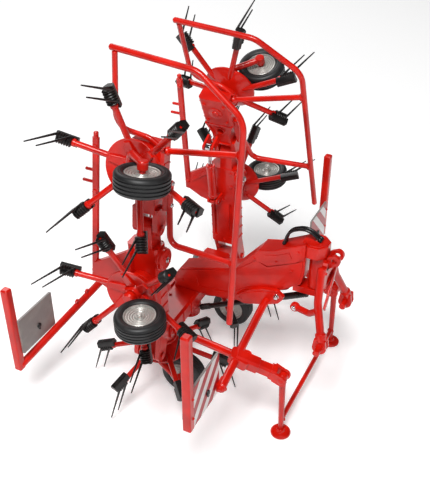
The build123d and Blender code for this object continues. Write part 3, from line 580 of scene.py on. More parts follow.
# A turn of the coil: shares of the pitch
TURN_SHARES = (0.04, 0.25, 0.5, 0.75, 0.96)


def arm_places(place):
    return [turned(place, ARM_PHASE + 360 / ARMS * arm, "Z") for arm in range(ARMS)]


def down_arm(arm_place, back=0.0):
    """Placing at the arm's outer end, or back from it, z along the arm and x to the ground side."""
    end = shifted(arm_place, ARM_END[0] - back, 0, ARM_END[1] + back * ARM_SLOPE)
    return turned(end, 90 + ARM_DIP, "Y")


def make_rotor(unit):
    place = UNIT[unit]
    bm = bmesh.new()
    add_lathe(bm, place, HUB_PROFILE, 64)
    for arm_place in arm_places(place):
        start = (ARM_INNER_R, 0, ARM_START[1] + ARM_SLOPE * (ARM_START[0] - ARM_INNER_R) - ARM_R)
        middle = (ARM_START[0] + ARM_KNEE, 0, ARM_START[1] - ARM_KNEE * ARM_SLOPE)
        past = COIL_L * 0.9
        end = (ARM_END[0] + past, 0, ARM_END[1] - ARM_SLOPE * past)
        add_tube(bm, arm_place, [start, middle, end], ARM_R, ARM_BEND, 18, cap=0.3)
        root = turned(shifted(arm_place, z=ARM_ROOT_W), ARM_ROOT_DIP, "Y")
        add_prism(bm, root, ARM_ROOT, -0.2, 0.9)
        add_lathe(bm, down_arm(arm_place, COLLAR_BACK), disc(ARM_R + 0.25, 0, COLLAR_L), 20)
    make_piece("rotor_hub_" + unit, bm, [RED], "rotor_" + unit, bevel=0.16)


def make_tines(unit):
    bm = bmesh.new()
    profile = [(0.4, 0.0)]
    for turn in range(COIL_TURNS):
        for share in TURN_SHARES:
            profile.append((COIL_R - WIRE * 1.15 * (1 - sin(pi * share)), (turn + share) * COIL_PITCH))
    profile.append((0.4, COIL_L))
    dip = radians(ARM_DIP)
    slant = radians(TINE_SLANT)
    for arm_place in arm_places(UNIT[unit]):
        coil = down_arm(arm_place)
        add_lathe(bm, coil, profile, 26)
        add_prism(bm, coil, HOLDER, -1.5, COIL_L + 0.45)
        add_prism(bm, coil, HOLDER_RIB, -0.8, COIL_L - 0.4)
        for share in TINE_SHARES:
            run = share * COIL_L
            root = Vector((ARM_END[0] + run * cos(dip), 0, ARM_END[1] - run * sin(dip)))
            tip = root + Vector((sin(slant), 0, -cos(slant))) * TINE_L
            start = root + Vector((0, COIL_R - WIRE, 0.2))
            add_tube(bm, arm_place, [start, tip], TINE_R, sides=12, end_radius=TINE_TIP_R)
    make_piece("spring_tines_" + unit, bm, [BLACK], "tines_" + unit, bevel=0.08)


for unit in UNITS:
    make_rotor(unit)
    make_tines(unit)


# Wheels

WHEEL_R = 7.6
HALF_W = 2.9
RIM_R = 4.8
AXLE_R = 0.9
# Columns: radius, distance in from the tyre's side
TYRE_WALL = [
    (RIM_R, 0.62), (RIM_R + 0.2, 0.3), (RIM_R + 0.75, 0.06), (5.85, 0.0), (6.0, 0.1), (6.2, 0.02),
    (6.75, 0.12), (7.2, 0.4), (7.45, 0.75),
]
GROOVES = (-1.55, -0.52, 0.52, 1.55)
GROOVE_PROFILE = [(0.02, -0.24), (0.38, -0.13), (0.38, 0.13), (0.02, 0.24)]
RIM_LIP = [(RIM_R, 0.55), (RIM_R - 0.18, 0.42), (RIM_R - 0.42, 0.48)]
RIM_RINGS = 4
RING_PITCH = 0.72
RING_DROP = 0.07
RING_PROFILE = [(0.0, 0.0), (0.12, 0.16), (0.42, 0.16), (0.54, 0.02)]


def wheel_placing(unit):
    """z along the axle, outwards along the beam."""
    joint = JOINTS["wheel_spin_" + unit]
    axle = Vector(joint["axis"])
    sideways = UNIT[unit].col[1].to_3d().normalized()
    return placing(Vector(joint["pos_m"]), sideways, axle.cross(sideways), axle)


def other_half(profile):
    return [(radius, -height) for radius, height in reversed(profile)]


def make_wheel(unit):
    place = wheel_placing(unit)
    tread = [(WHEEL_R - deep, middle + aside) for middle in GROOVES for deep, aside in GROOVE_PROFILE]
    wall = [(radius, inset - HALF_W) for radius, inset in TYRE_WALL]
    bm = bmesh.new()
    add_lathe(bm, place, wall + tread + other_half(wall) + wall[:1], 80)
    make_piece("ribbed_tyre_" + unit, bm, [RUBBER], "tyre_" + unit, bevel=0.05)

    face = [(radius, HALF_W - inset) for radius, inset in RIM_LIP]
    level = HALF_W - 0.75
    for ring in range(RIM_RINGS):
        outer = RIM_R - 0.55 - ring * RING_PITCH
        face += [(outer - inwards, level - deep) for inwards, deep in RING_PROFILE]
        level -= RING_DROP
    face += [(1.6, level), (1.45, level + 0.22), (1.15, level + 0.3), (AXLE_R, level + 0.3)]
    bm = bmesh.new()
    add_lathe(bm, place, face + other_half(face) + face[:1], 72)
    make_piece("ringed_rim_" + unit, bm, [RIM], "rim_" + unit, bevel=0.05)


for unit in UNITS:
    make_wheel(unit)


# Wheel legs: stem through the rotor, bent arm beside the wheel and the axle

LEG_R = 1.05
LEG_ASIDE = 4.4
# Side of the wheel that its leg passes, counted along the beam
LEG_SIDE = {"centre": 1, "inner": -1, "outer": 1}
LEG_BEND = 2.6
STEM_END_W = 1.5
ELBOW_W = 1.3
STEM_COLLAR = [(0, 0), (1.5, 0.1), (2.0, 0.7), (2.0, 1.9), (1.1, 2.3), (0, 2.3)]
AXLE_BOSS = [(0, 0), (1.25, 0.05), (1.5, 0.35), (1.5, 2.5), (0, 2.5)]
# From the leg's middle to the far face of the rim's hub
HUB_FACE = LEG_ASIDE + HALF_W - 1.2


def add_wheel_leg(bm, unit):
    place = UNIT[unit]
    hub = place.inverted() @ Vector(JOINTS["wheel_spin_" + unit]["pos_m"])
    beside = hub.x + LEG_SIDE[unit.split("_")[0]] * LEG_ASIDE
    foot = (beside, hub.y, hub.z)
    route = [(0, 0, GEARBOX_LOW), (0, 0, STEM_END_W), (beside, 0, ELBOW_W), foot]
    add_tube(bm, place, route, LEG_R, LEG_BEND, cap=0.3)
    add_lathe(bm, shifted(place, z=0.6), STEM_COLLAR, 32)
    inward = looking(place, foot, hub, (0, 0, 1))
    add_lathe(bm, shifted(inward, z=-LEG_R * 1.15), AXLE_BOSS, 32)
    add_lathe(bm, inward, disc(AXLE_R - 0.06, 0, HUB_FACE + 0.6), 24)
    add_bolt(bm, shifted(inward, z=HUB_FACE + 0.35), 0.95, 0.6, material=1)


def make_wheel_leg(units, node):
    bm = bmesh.new()
    for unit in units:
        add_wheel_leg(bm, unit)
    make_piece("bent_" + node, bm, [RED, RIM], node, bevel=0.1)


for kind in ("inner", "outer"):
    for name in SIDES:
        make_wheel_leg([kind + "_" + name], "wheel_leg_" + kind + "_" + name)
make_wheel_leg(["centre_right", "centre_left"], "centre_wheel_legs")


# Shapes shared by the beams, the pole and the headstock

GEARBOX = [
    (0, GEARBOX_LOW), (4.7, GEARBOX_LOW), (4.9, 7.55), (4.9, 8.15), (4.75, 8.3), (4.3, 8.4),
    (4.2, 8.6), (4.2, BEAM_LOW + 0.1), (0, BEAM_LOW + 0.1),
]
RIB_HALF = 0.28
EAR_ASIDE = 1.6
EAR_HALF = 0.4
PAINTED = [RED, BRIGHT]


def slot_loop(x, y, half):
    """Round-ended slot between two limits of x."""
    right = circle(half, 8, (x[1] - half, y), -pi / 2, pi)
    left = circle(half, 8, (x[0] + half, y), pi / 2, pi)
    return right + left


def add_eye_plate(bm, place, v, thick, root_u, eye, radius, bore=0.0, root_top=BEAM_TOP - 0.2):
    """Upright plate along a beam, from its root to a round eye, with a bore where one is given."""
    low, high = (root_u, BEAM_LOW + 0.2), (root_u, root_top)
    if eye[0] < root_u:
        outline = [low, high, *circle(radius, 16, eye, pi / 2, pi)]
    else:
        outline = [high, low, *circle(radius, 16, eye, -pi / 2, pi)]
    holes = [circle(bore, 24, eye)] if bore else []
    add_holed_prism(bm, turned(place, 90, "X"), outline, holes, *around(-v, thick / 2))


def add_pin(bm, place, middle, half, radius, head):
    """Turned pin with a low domed head. half runs from its middle to the head's end."""
    length = 2 * Vector(half).length
    wide = radius * head
    profile = [
        (0, 0), (radius * 0.8, 0), (radius, 0.18), (radius, length - 0.5), (wide, length - 0.45),
        (wide, length - 0.15), (wide * 0.75, length), (0, length),
    ]
    add_lathe(bm, looking(place, Vector(middle) - Vector(half), middle), profile, 26)


def add_weld(bm, place, at, towards, radius):
    """Soft raised ring where a round bar meets another piece."""
    profile = [(0, -0.1), (radius + 0.45, 0), (radius + 0.36, 0.28), (radius + 0.1, 0.62), (0, 0.66)]
    add_lathe(bm, looking(place, at, towards), profile, 22)


def add_bolts(bm, place, spots, level, radius, height):
    """Bolts with washers at (x, y) spots of one level."""
    for x, y in spots:
        add_bolt(bm, shifted(place, x, y, level), radius, height)


def add_bolt_ring(bm, place, count, phase, ring_r, level, radius, height):
    """Bolts without washers, spaced round a placing's z axis."""
    for turn in range(count):
        spot = shifted(turned(place, phase + 360 / count * turn, "Z"), ring_r, 0, level)
        add_bolt(bm, spot, radius, height, washer=False)


def add_gearbox(bm, place):
    add_lathe(bm, place, GEARBOX, 48)
    add_bolt_ring(bm, place, 6, 30, 4.54, 8.25, 0.27, 0.3)


def add_cylinder_lugs(bm, place, side, pin, seat):
    """Two ears on a beam's top with the pin of a cylinder's eye between them."""
    u, v, w = pin[0], side * pin[1], pin[2]
    ear = [(u - 1.5, seat - 0.2), (u + 1.5, seat - 0.2), *circle(1.2, 12, (u, w), 0, pi)]
    for way in (-1, 1):
        add_prism(bm, turned(place, 90, "X"), ear, *around(-v - way * EAR_ASIDE, EAR_HALF))
        outer = looking(place, (u, v + way * (EAR_ASIDE + 0.3), w), (u, v + way * 3, w))
        add_bolt(bm, outer, 0.62, 0.3, washer=False, material=1)
    reach = EAR_ASIDE + EAR_HALF + 0.05
    add_lathe(bm, looking(place, (u, v - reach, w), (u, v + reach, w)), disc(0.6, 0, 2 * reach), 20)


def add_side_ribs(bm, place, spots, w, proud):
    """Upright casting ribs on both flanks of a beam."""
    for u in spots:
        for way in (-1, 1):
            v = sorted((way * (BEAM_HALF - 0.1), way * (BEAM_HALF + proud)))
            add_box(bm, place, around(u, RIB_HALF), v, w)


# Beams of the wings

FOLD_EYE = (-29.0, 10.5)
HINGE_EYE = (19.6, 13.3)
OUTER_EYE = (-20.3, 13.3)
# Pins of the cylinders: u, v to the machine's rear, w
CYLINDER_FOOT = (1.0, 2.0, 19.6)
CYLINDER_EYE = (-13.5, 3.5, 19.4)
INNER_SPAN = (-20, 13)
LID_LOW = BEAM_TOP - 0.6
LID_HALF = 4.7
CHANNEL_U = (-17, -2)
CHANNEL_HALF = 0.65
BOX_SECTION = [
    (-BEAM_HALF, BEAM_LOW + BEAM_EDGE), (BEAM_EDGE - BEAM_HALF, BEAM_LOW),
    (BEAM_HALF - BEAM_EDGE, BEAM_LOW), (BEAM_HALF, BEAM_LOW + BEAM_EDGE),
    (BEAM_HALF, LID_LOW - 0.2), (BEAM_HALF - 0.3, LID_LOW),
    (0.3 - BEAM_HALF, LID_LOW), (-BEAM_HALF, LID_LOW - 0.2),
]
DRUM_AT = (8.6, 13.3)
DRUM = [
    (0, -0.4), (3.7, -0.4), (3.7, 0.35), (3.45, 0.5), (3.45, 1.25), (3.1, 1.6), (1.4, 1.75),
    (1.3, 2.0), (0, 2.0),
]
FOLD_EYE_R = 2.3
HINGE_EYE_R = 2.4
LID_BOLTS = [(-18.6, 0.0), (-0.4, 0.0), (6.0, 3.4), (6.0, -3.4), (11.4, 3.4), (11.4, -3.4)]


def make_inner_beam(name):
    place = UNIT["inner_" + name]
    side = SIDES[name]
    bm = bmesh.new()
    add_gearbox(bm, place)
    add_prism(bm, along_beam(place), BOX_SECTION, *INNER_SPAN)
    lid = chamfered(INNER_SPAN, (-LID_HALF, LID_HALF), 0.5)
    channels = [slot_loop(CHANNEL_U, v, CHANNEL_HALF) for v in (-3.0, 3.0)]
    add_holed_prism(bm, place, lid, channels, LID_LOW, BEAM_TOP)
    add_side_ribs(bm, place, (-17.5, -13.5, -9.5, -5.5), (11.3, 15.1), 0.3)
    for v in (-3.9, 3.9):
        add_eye_plate(bm, place, v, 1.5, -18.5, FOLD_EYE, FOLD_EYE_R, BORE_R)
    add_eye_plate(bm, place, -1.5 * side, 4.4, 12, HINGE_EYE, HINGE_EYE_R, BORE_R)
    add_cylinder_lugs(bm, place, side, CYLINDER_FOOT, BEAM_TOP)
    u, w = DRUM_AT
    front = -side * BEAM_HALF
    drum = looking(place, (u, front, w), (u, 2 * front, w))
    add_lathe(bm, drum, DRUM, 40)
    add_bolt(bm, shifted(drum, z=1.95), 0.8, 0.5, material=1)
    add_bolt_ring(bm, drum, 4, 45, 2.5, 1.6, 0.3, 0.25)
    add_bolts(bm, place, LID_BOLTS, BEAM_TOP - SUNK, *BEAM_BOLT)
    make_piece("inner_box_beam_" + name, bm, PAINTED, "inner_beam_" + name)


BLOCK_TOP = OUTER_TOP - 0.2
PLATE_TOP = OUTER_TOP - 0.4
TAPERED = [(-5.5, -5), (-5.5, 5), (-10, 3.2), (-15.5, 3.2), (-15.5, -3.2), (-10, -3.2)]
TAPERED_INSIDE = [(-6.2, -4.0), (-6.2, 4.0), (-10.3, 2.4), (-14.8, 2.4), (-14.8, -2.4), (-10.3, -2.4)]
HOLE_AT = (-8.6, 0)
TOP_CAP = [(0, 0), (2.4, 0), (2.4, 0.3), (1.2, 0.45), (1.1, 0.8), (0, 0.8)]


def make_outer_beam(name):
    place = UNIT["outer_" + name]
    bm = bmesh.new()
    add_gearbox(bm, place)
    block = chamfered((-BEAM_HALF, BEAM_HALF), (BEAM_LOW, BLOCK_TOP), BEAM_EDGE)
    add_prism(bm, along_beam(place), block, -6, 6)
    hole = circle(1.2, 24, HOLE_AT)
    add_holed_prism(bm, place, TAPERED, [hole], BEAM_LOW, PLATE_TOP)
    add_holed_prism(bm, place, TAPERED, [TAPERED_INSIDE], PLATE_TOP, OUTER_TOP)
    add_holed_prism(bm, place, circle(1.6, 28, HOLE_AT), [hole], PLATE_TOP - SUNK, OUTER_TOP - 0.1)
    for v in (-3.35, 3.35):
        add_eye_plate(bm, place, v, 1.7, -14.0, OUTER_EYE, HINGE_EYE_R, root_top=OUTER_TOP - 0.1)
    add_pin(bm, place, (OUTER_EYE[0], 0, OUTER_EYE[1]), (0, 4.8, 0), PIN_R, 1.25)
    add_cylinder_lugs(bm, place, SIDES[name], CYLINDER_EYE, PLATE_TOP)
    add_side_ribs(bm, place, (-3.6, 0, 3.6), (11.3, 14.5), 0.25)
    spots = [(u, v) for u in (-3.6, 3.6) for v in (-3.4, 3.4)]
    add_bolts(bm, place, spots, BLOCK_TOP - SUNK, *BEAM_BOLT)
    add_lathe(bm, shifted(place, z=BLOCK_TOP - 0.1), TOP_CAP, 30)
    make_piece("tapered_outer_beam_" + name, bm, PAINTED, "outer_beam_" + name)


# Guards of bent tube on the outer units, and flat struts behind the inner ones. v is counted to
# the machine's rear

GUARD_TUBE = [(30.6, 11.2, 8.0), (28.3, -15.2, 8.1), (17.7, -28.9, 8.6), (-43.9, -28.9, 11.6)]
CROSS_TUBE_1 = [(4.0, -5.3, 11.8), (8.4, -28.9, 9.1)]
CROSS_TUBE_2 = [(-23.8, -28.9, 10.6), (-23.8, -8.0, 12.0), (-13.0, -6.6, 13.2), (-5.0, -6.6, 13.2)]
BACK_STRAP = [(29.6, 9.5, 8.0), (8.8, 9.5, 9.3), (7.4, -1.0, 9.8), (4.6, -5.2, 10.6)]
# Columns: points, bend, sides, rounding of the ends
GUARD_TUBES = [(GUARD_TUBE, 7.0, 24, 0.5), (CROSS_TUBE_1, 1.0, 22, 0.1), (CROSS_TUBE_2, 3.2, 22, 0.1)]
# A tube's end and the point that it comes from
GUARD_WELDS = [CROSS_TUBE_1[::-1], CROSS_TUBE_2[:2], CROSS_TUBE_1]
GUARD_FOOT = [(-14.2, -6.2), (-3.6, -6.2), (-3.6, -4.6), (-14.2, -4.6)]
FOOT_W = 13.2


def make_guard(name):
    place = UNIT["outer_" + name]
    side = SIDES[name]
    bm = bmesh.new()
    for points, bend, sides, cap in GUARD_TUBES:
        add_tube(bm, place, across(side, points), TUBE_R, bend, sides, cap=cap)
    add_tube(bm, place, across(side, BACK_STRAP), 1.0, 5.0, 20, flat=0.8, cap=0.2)
    for ends in GUARD_WELDS:
        start, end = [Vector(point) for point in across(side, ends)]
        add_weld(bm, place, start + (end - start).normalized() * (TUBE_R * 0.75), end, TUBE_R)
    add_prism(bm, place, across(side, GUARD_FOOT), *around(FOOT_W, 0.9))
    for u in (-12.2, -5.6):
        bolt = looking(place, (u, side * -7.3, FOOT_W), (u, side * -9, FOOT_W))
        add_bolt(bm, bolt, 0.55, 0.4, material=1)
    make_piece("bent_tube_guard_" + name, bm, PAINTED, "guard_" + name, bevel=0.1)


STRUT_TOP = (44.0, 15.1, 15.2)
STRUT_FOOT = (-3.5, 17.4, 9.6)
# Columns: u, v, corner radius
STRUT_PLATE = [(12, 3, 1.2), (8, 9, 2.0), (3, 17.2, 1.6), (-3, 17.5, 1.6), (-6, 12, 2.0), (-8, 3, 1.2)]
STRUT_RIB = [(10.4, 4.2, 0.8), (2.0, 15.4, 0.8), (0.6, 14.8, 0.8), (8.8, 3.6, 0.8)]
# Along the strut from its top: bosses by share, pegs by share and length
BOSS_SHARES = (0.06, 0.36, 0.93)
PEGS = ((0.22, 3.6), (0.3, 4.6))
STRUT_BOSS = [(0, 0), (0.8, 0), (0.85, 0.2), (0.85, 1.6), (0.6, 1.85), (0, 1.9)]
STRUT_END = [(0, 0), (0.55, 0.05), (0.75, 0.3), (0.75, 2.0), (0, 2.0)]


def make_rear_strut(name):
    place = UNIT["inner_" + name]
    side = SIDES[name]
    top, foot = [Vector(point) for point in across(side, (STRUT_TOP, STRUT_FOOT))]
    bar = looking(place, top, foot, (0, 1, 0))
    bm = bmesh.new()
    add_bar(bm, bar, 1.1, 0.6, 0.3, 0, (foot - top).length)
    add_round_plate(bm, place, across(side, STRUT_PLATE), 8.6, BEAM_LOW)
    add_round_plate(bm, place, across(side, STRUT_RIB), BEAM_LOW - 0.1, BEAM_LOW + 0.5)
    for share in BOSS_SHARES:
        middle = top.lerp(foot, share)
        boss = looking(place, middle - Vector((0, 0, 0.9)), middle + Vector((0, 0, 1)))
        add_lathe(bm, boss, STRUT_BOSS, 22)
    for share, reach in PEGS:
        start = top.lerp(foot, share)
        add_tube(bm, place, [start, start + Vector((0, side * reach, 0))], 0.5, sides=16, cap=0.5)
    add_lathe(bm, shifted(bar, z=-1.7), STRUT_END, 20)
    make_piece("flat_rear_strut_" + name, bm, [RED], "rear_strut_" + name)


for name in SIDES:
    make_inner_beam(name)
    make_outer_beam(name)
    make_guard(name)
    make_rear_strut(name)


# Centre beam and the pole that rises to the front, in the millimetres of the scene's own axes

BEAM_Y = (-1.8, 8.6)
BEAM_Z = (23.5, 29.3)
CENTRE_HALF = 23.2
CENTRE_HUB_X = 20.3
CENTRE_HUB_Y = 3.4
WING_Y = 1.7
FOLD_X = 31.5
FOLD_Z = 23.6
MIDDLE_HOUSING = [
    (0, 16.6), (3.3, 16.6), (3.7, 17.0), (3.7, 18.6), (4.0, 18.9), (4.0, 20.6), (3.8, 20.8),
    (3.8, 23.6), (0, 23.6),
]


def make_centre_beam():
    bm = bmesh.new()
    add_prism(bm, along_beam(WORLD), chamfered(BEAM_Y, BEAM_Z, BEAM_EDGE), -CENTRE_HALF, CENTRE_HALF)
    for x in (-19.5, -14.0, -8.5, 8.5, 14.0, 19.5):
        add_box(bm, WORLD, around(x, 0.3), (BEAM_Y[0] - 0.3, BEAM_Y[0] + 0.2), (24.4, 28.4))
        add_bolt(bm, shifted(WORLD, x, 6.4, BEAM_Z[1] - SUNK), *BEAM_BOLT)
    add_lathe(bm, shifted(WORLD, y=CENTRE_HUB_Y), MIDDLE_HOUSING, 40)
    for name, side in SIDES.items():
        place = UNIT["centre_" + name]
        add_gearbox(bm, place)
        eye = (FOLD_X - CENTRE_HUB_X, FOLD_EYE[1])
        add_eye_plate(bm, place, side * (WING_Y - CENTRE_HUB_Y), 5.7, 2.5, eye, FOLD_EYE_R)
        add_pin(bm, WORLD, (side * FOLD_X, WING_Y, FOLD_Z), (0, -5.3, 0), PIN_R, 1.2)
    make_piece("centre_box_beam", bm, PAINTED, "centre_beam")


# Outlines of the pole seen from the left: y, z
POLE_SIDE = [
    (7.6, 29.3), (-1.8, 29.3), (-15.0, 30.3), (-24.4, 35.8), (-38.6, 44.8), (-39.7, 50.0),
    (-39.7, 60.8), (-28.9, 55.0), (-24.0, 54.0), (-15.6, 44.1), (5.0, 38.0), (7.6, 34.0),
]
POLE_SPINE = [
    (6.8, 30.0), (-1.6, 30.0), (-14.8, 31.0), (-24.0, 36.5), (-37.9, 45.3), (-38.9, 50.2),
    (-38.9, 54.0), (-27.0, 48.2), (-23.4, 49.8), (-15.2, 43.2), (4.6, 37.2), (6.8, 33.8),
]
POLE_WINDOW = [(-2.0, 32.4), (-13.6, 33.4), (-21.4, 38.6), (-16.2, 41.0), (-1.0, 36.2)]
HOOD_SIDE = [
    (-21.8, 50.4), (-24.2, 54.2), (-28.9, 55.2), (-39.6, 60.9), (-39.6, 56.0), (-36.8, 53.2), (-27.2, 49.0),
]
HOOD_FACET = [(-25.4, 50.6), (-26.4, 53.2), (-30.0, 54.0), (-34.4, 56.4), (-35.4, 54.4), (-27.2, 50.9)]
HOOD_SHELL = [(-24.2, 54.4), (-28.9, 55.5), (-39.4, 60.9), (-39.4, 58.4), (-28.9, 53.0), (-24.6, 52.0)]
POLE_CORE = 3.1
POLE_HALF = 3.4
HOOD_HALF = 3.75
# Columns: y, z, height out of the middle plane
POLE_BOLTS = [
    (-37.4, 57.3, 3.7), (-30.2, 51.6, 3.7), (-35.4, 49.4, 3.35), (4.0, 33.0, 3.35), (-22.6, 50.6, 3.7),
]
SWIVEL_Y = -42.6
SWIVEL_BORE_R = 1.26
LUG_R = 2.8
LUG_BACK = 6.6
LUG_Z = (41.5, 43.7)
# The head is an octagon whose middle lies a little behind the swivel
HEAD_MIDDLE = (0, 0.6)
HEAD_R = 4.1 / cos(pi / 8)
HEAD_Z = (56.4, 60.6)
HEAD_LID = 0.5
HEAD_BOLTS_R = 2.5
# Limits in x, y and z
NECK = ((-3.3, 3.3), (3.0, 5.0), (54.4, 59.8))


def make_pole():
    bm = bmesh.new()
    left = facing_side(LEFT)
    add_prism(bm, left, POLE_SIDE, -POLE_CORE, POLE_CORE)
    for side in (LEFT, RIGHT):
        place = facing_side(side)
        window = mirrored(side, POLE_WINDOW)
        add_holed_prism(bm, place, mirrored(side, POLE_SPINE), [window], POLE_CORE - SUNK, POLE_HALF)
        add_prism(bm, place, mirrored(side, HOOD_SIDE), POLE_CORE - 0.1, HOOD_HALF)
        add_prism(bm, place, mirrored(side, HOOD_FACET), HOOD_HALF - SUNK, HOOD_HALF + 0.2)
        for spot in mirrored(side, POLE_BOLTS):
            add_bolt(bm, shifted(place, *spot), *SMALL_BOLT)
    add_prism(bm, left, HOOD_SHELL, -POLE_HALF - 0.05, POLE_HALF + 0.05)
    swivel = shifted(WORLD, y=SWIVEL_Y)
    bore = circle(SWIVEL_BORE_R, 24)
    lug = [(LUG_R, LUG_BACK), (-LUG_R, LUG_BACK), *circle(LUG_R, 18, (0, 0), pi, pi)]
    add_holed_prism(bm, swivel, lug, [bore], *LUG_Z)
    add_holed_prism(bm, swivel, circle(HEAD_R, 8, HEAD_MIDDLE, pi / 8), [bore], *HEAD_Z)
    lid = circle(HEAD_R * 0.88, 8, HEAD_MIDDLE, pi / 8)
    add_holed_prism(bm, swivel, lid, [bore], HEAD_Z[1], HEAD_Z[1] + HEAD_LID)
    add_box(bm, swivel, *NECK)
    for x, y in circle(HEAD_BOLTS_R, 4, HEAD_MIDDLE, pi / 4):
        spot = shifted(swivel, x, y, HEAD_Z[1] + HEAD_LID - SUNK)
        add_bolt(bm, spot, 0.4, 0.25, washer=False)
    make_piece("hooded_pole", bm, PAINTED, "pole")


make_centre_beam()
make_pole()


# Headstock with its three hitch points

LINK = (13.0, -50.0, 31.2)
TOP_LINK = (-48.6, 56.5)
HEAD_TUBE_R = 1.3
HEAD_TUBE = [(4.6, -45.6, 54.8), (8.6, -46.6, 44.0), (13.0, -50.0, 33.6)]
# The tube's end collar looks from its last point to this one
ABOVE_END = (11.6, -49.0, 37.0)
TUBE_END = [(0, -0.6), (1.7, -0.6), (1.8, -0.3), (1.8, 1.8), (1.4, 2.3), (0, 2.4)]
FORK = [(LINK[1] - 1.9, 34.4), (LINK[1] + 1.9, 34.4), *circle(2.3, 16, LINK[1:], 0, -pi)]
FORK_T = 0.8
FORK_LOW = (-1.5, 0.7)
LINK_PIN_HALF = 4.5
# Cross plate, counted ahead of the line of the hubs
FACE_AHEAD = (45.6, 47.2)
FACE = chamfered((-6.0, 6.0), (45.5, 54.5), 1.4)
FACE_WINDOW = chamfered((-3.2, 3.2), (47.2, 50.6), 0.8)
FACE_BAND = chamfered((-4.2, 4.2), (53.2, 56.0), 0.6)
FACE_BOLTS = [(x, z) for x in (-4.9, 4.9) for z in (46.8, 53.0)]
SWIVEL_LUG = [(-2.4, -3.9), (2.4, -3.9), *circle(2.4, 18, (0, 0), 0, pi)]
SWIVEL_PIN = [(0, 40.7), (1.05, 40.7), (1.2, 40.9), (1.2, 61.0), (1.0, 61.15), (0, 61.2)]
TIE = [(-9.3, -46.9, 41.4), (-8.2, -44.0, 38.6), (-6.6, -38.2, 38.4)]
TIE_R = 1.1
TIE_EYE = [(0, 0), (1.4, 0), (1.55, 0.2), (1.55, 1.5), (1.4, 1.7), (0, 1.7)]
TOP_EAR = [(-46.4, 52.6), (-46.4, 57.4), *circle(2.0, 16, TOP_LINK, pi / 2, pi)]
STRAP = [Vector((6.6, -47.4, 50.6)), Vector((-6.4, -48.2, 40.2))]


def make_headstock():
    bm = bmesh.new()
    left = facing_side(LEFT)
    for side in (RIGHT, LEFT):
        route = mirrored(side, HEAD_TUBE)
        add_tube(bm, WORLD, route, HEAD_TUBE_R, 7.0, 26, cap=0.4)
        add_lathe(bm, looking(WORLD, route[2], *mirrored(side, [ABOVE_END])), TUBE_END, 28)
        x, y, z = side * LINK[0], *LINK[1:]
        for low in FORK_LOW:
            add_prism(bm, left, FORK, x + low, x + low + FORK_T)
        add_pin(bm, WORLD, (x, y, z), (side * LINK_PIN_HALF, 0, 0), 1.1, 1.0)
        ring = looking(WORLD, (x + side * 1.4, y, z), (x + side * LINK_PIN_HALF, y, z))
        add_lathe(bm, ring, disc(1.55, 0, 0.4), 24)
    upright = turned(WORLD, 90, "X")
    add_holed_prism(bm, upright, FACE, [FACE_WINDOW], *FACE_AHEAD)
    add_prism(bm, upright, FACE_BAND, *FACE_AHEAD)
    add_bolts(bm, upright, FACE_BOLTS, FACE_AHEAD[1] - SUNK, 0.42, 0.35)
    swivel = shifted(WORLD, y=SWIVEL_Y)
    add_prism(bm, swivel, SWIVEL_LUG, LUG_Z[1] + 0.3, HEAD_Z[0] - 0.3)
    add_lathe(bm, swivel, SWIVEL_PIN, 28)
    add_tube(bm, WORLD, TIE, TIE_R, 1.6, cap=0.4)
    add_weld(bm, WORLD, TIE[0], TIE[1], TIE_R)
    tie_eye = looking(WORLD, (-7.5, -38.6, 38.4), (-4.5, -38.6, 38.4))
    add_lathe(bm, tie_eye, TIE_EYE, 26)
    add_bolt(bm, turned(tie_eye, 180, "X"), 0.7, 0.4, material=1)
    for x in (-1.9, 1.9):
        add_holed_prism(bm, left, TOP_EAR, [circle(0.9, 20, TOP_LINK)], *around(x, 0.6))
    reach = (STRAP[0] - STRAP[1]).length
    add_bar(bm, looking(WORLD, *STRAP, (0, 1, 0)), 0.35, 1.0, 0.15, 0, reach)
    make_piece("bent_tube_headstock", bm, PAINTED, "headstock_frame")


make_headstock()


# Front carrier, parking stand and drive shaft

CROSS_TUBE = [(0, -27.9, 36.4), (8.0, -27.9, 35.7), (28.0, -28.1, 30.4), (42.6, -29.0, 28.6)]
STAND_X = 25.0
STAND_PIN = (-42.4, 24.6)
STRUT_ROOT = (21.5, BEAM_Y[0] - 0.2, 26.8)
HOLDER_START = (28.0, -28.0, 30.0)
HOLDER_HALF = 2.2
HOLDER_WAIST = 1.85
HOLDER_END = (STAND_X, STAND_PIN[0] + 2.4, STAND_PIN[1] + 1.0)
HOLDER_BLEND = [(-2.2, -2.4, 1.0), (2.2, -2.4, 1.0), (3.2, 4.0, 1.2), (-3.2, 4.0, 1.2)]
STAND_EAR = [
    (STAND_PIN[0] + 3.0, STAND_PIN[1] - 0.9), (STAND_PIN[0] + 3.0, STAND_PIN[1] + 3.2),
    *circle(1.9, 14, STAND_PIN, pi / 2, pi),
]
# Columns: y, z, corner radius
LOBED_PLATE = [
    (-15.0, 33.0, 1.0), (-22.0, 38.5, 2.4), (-26.7, 40.4, 2.4), (-31.3, 41.0, 1.6),
    (-34.2, 38.9, 1.2), (-32.0, 36.0, 1.6), (-27.9, 34.2, 2.0), (-20.0, 32.0, 1.2),
]
RAISED_LOBE = [(y * 0.86 - 3.6, (z - 36.6) * 0.7 + 36.6, radius) for y, z, radius in LOBED_PLATE]
LOBE_OUT = POLE_HALF + 1.5
WEB = [(38.0, 27.6), (41.9, 27.2), (41.9, 30.2), (38.0, 30.4)]
WEB_AHEAD = (27.4, 28.3)


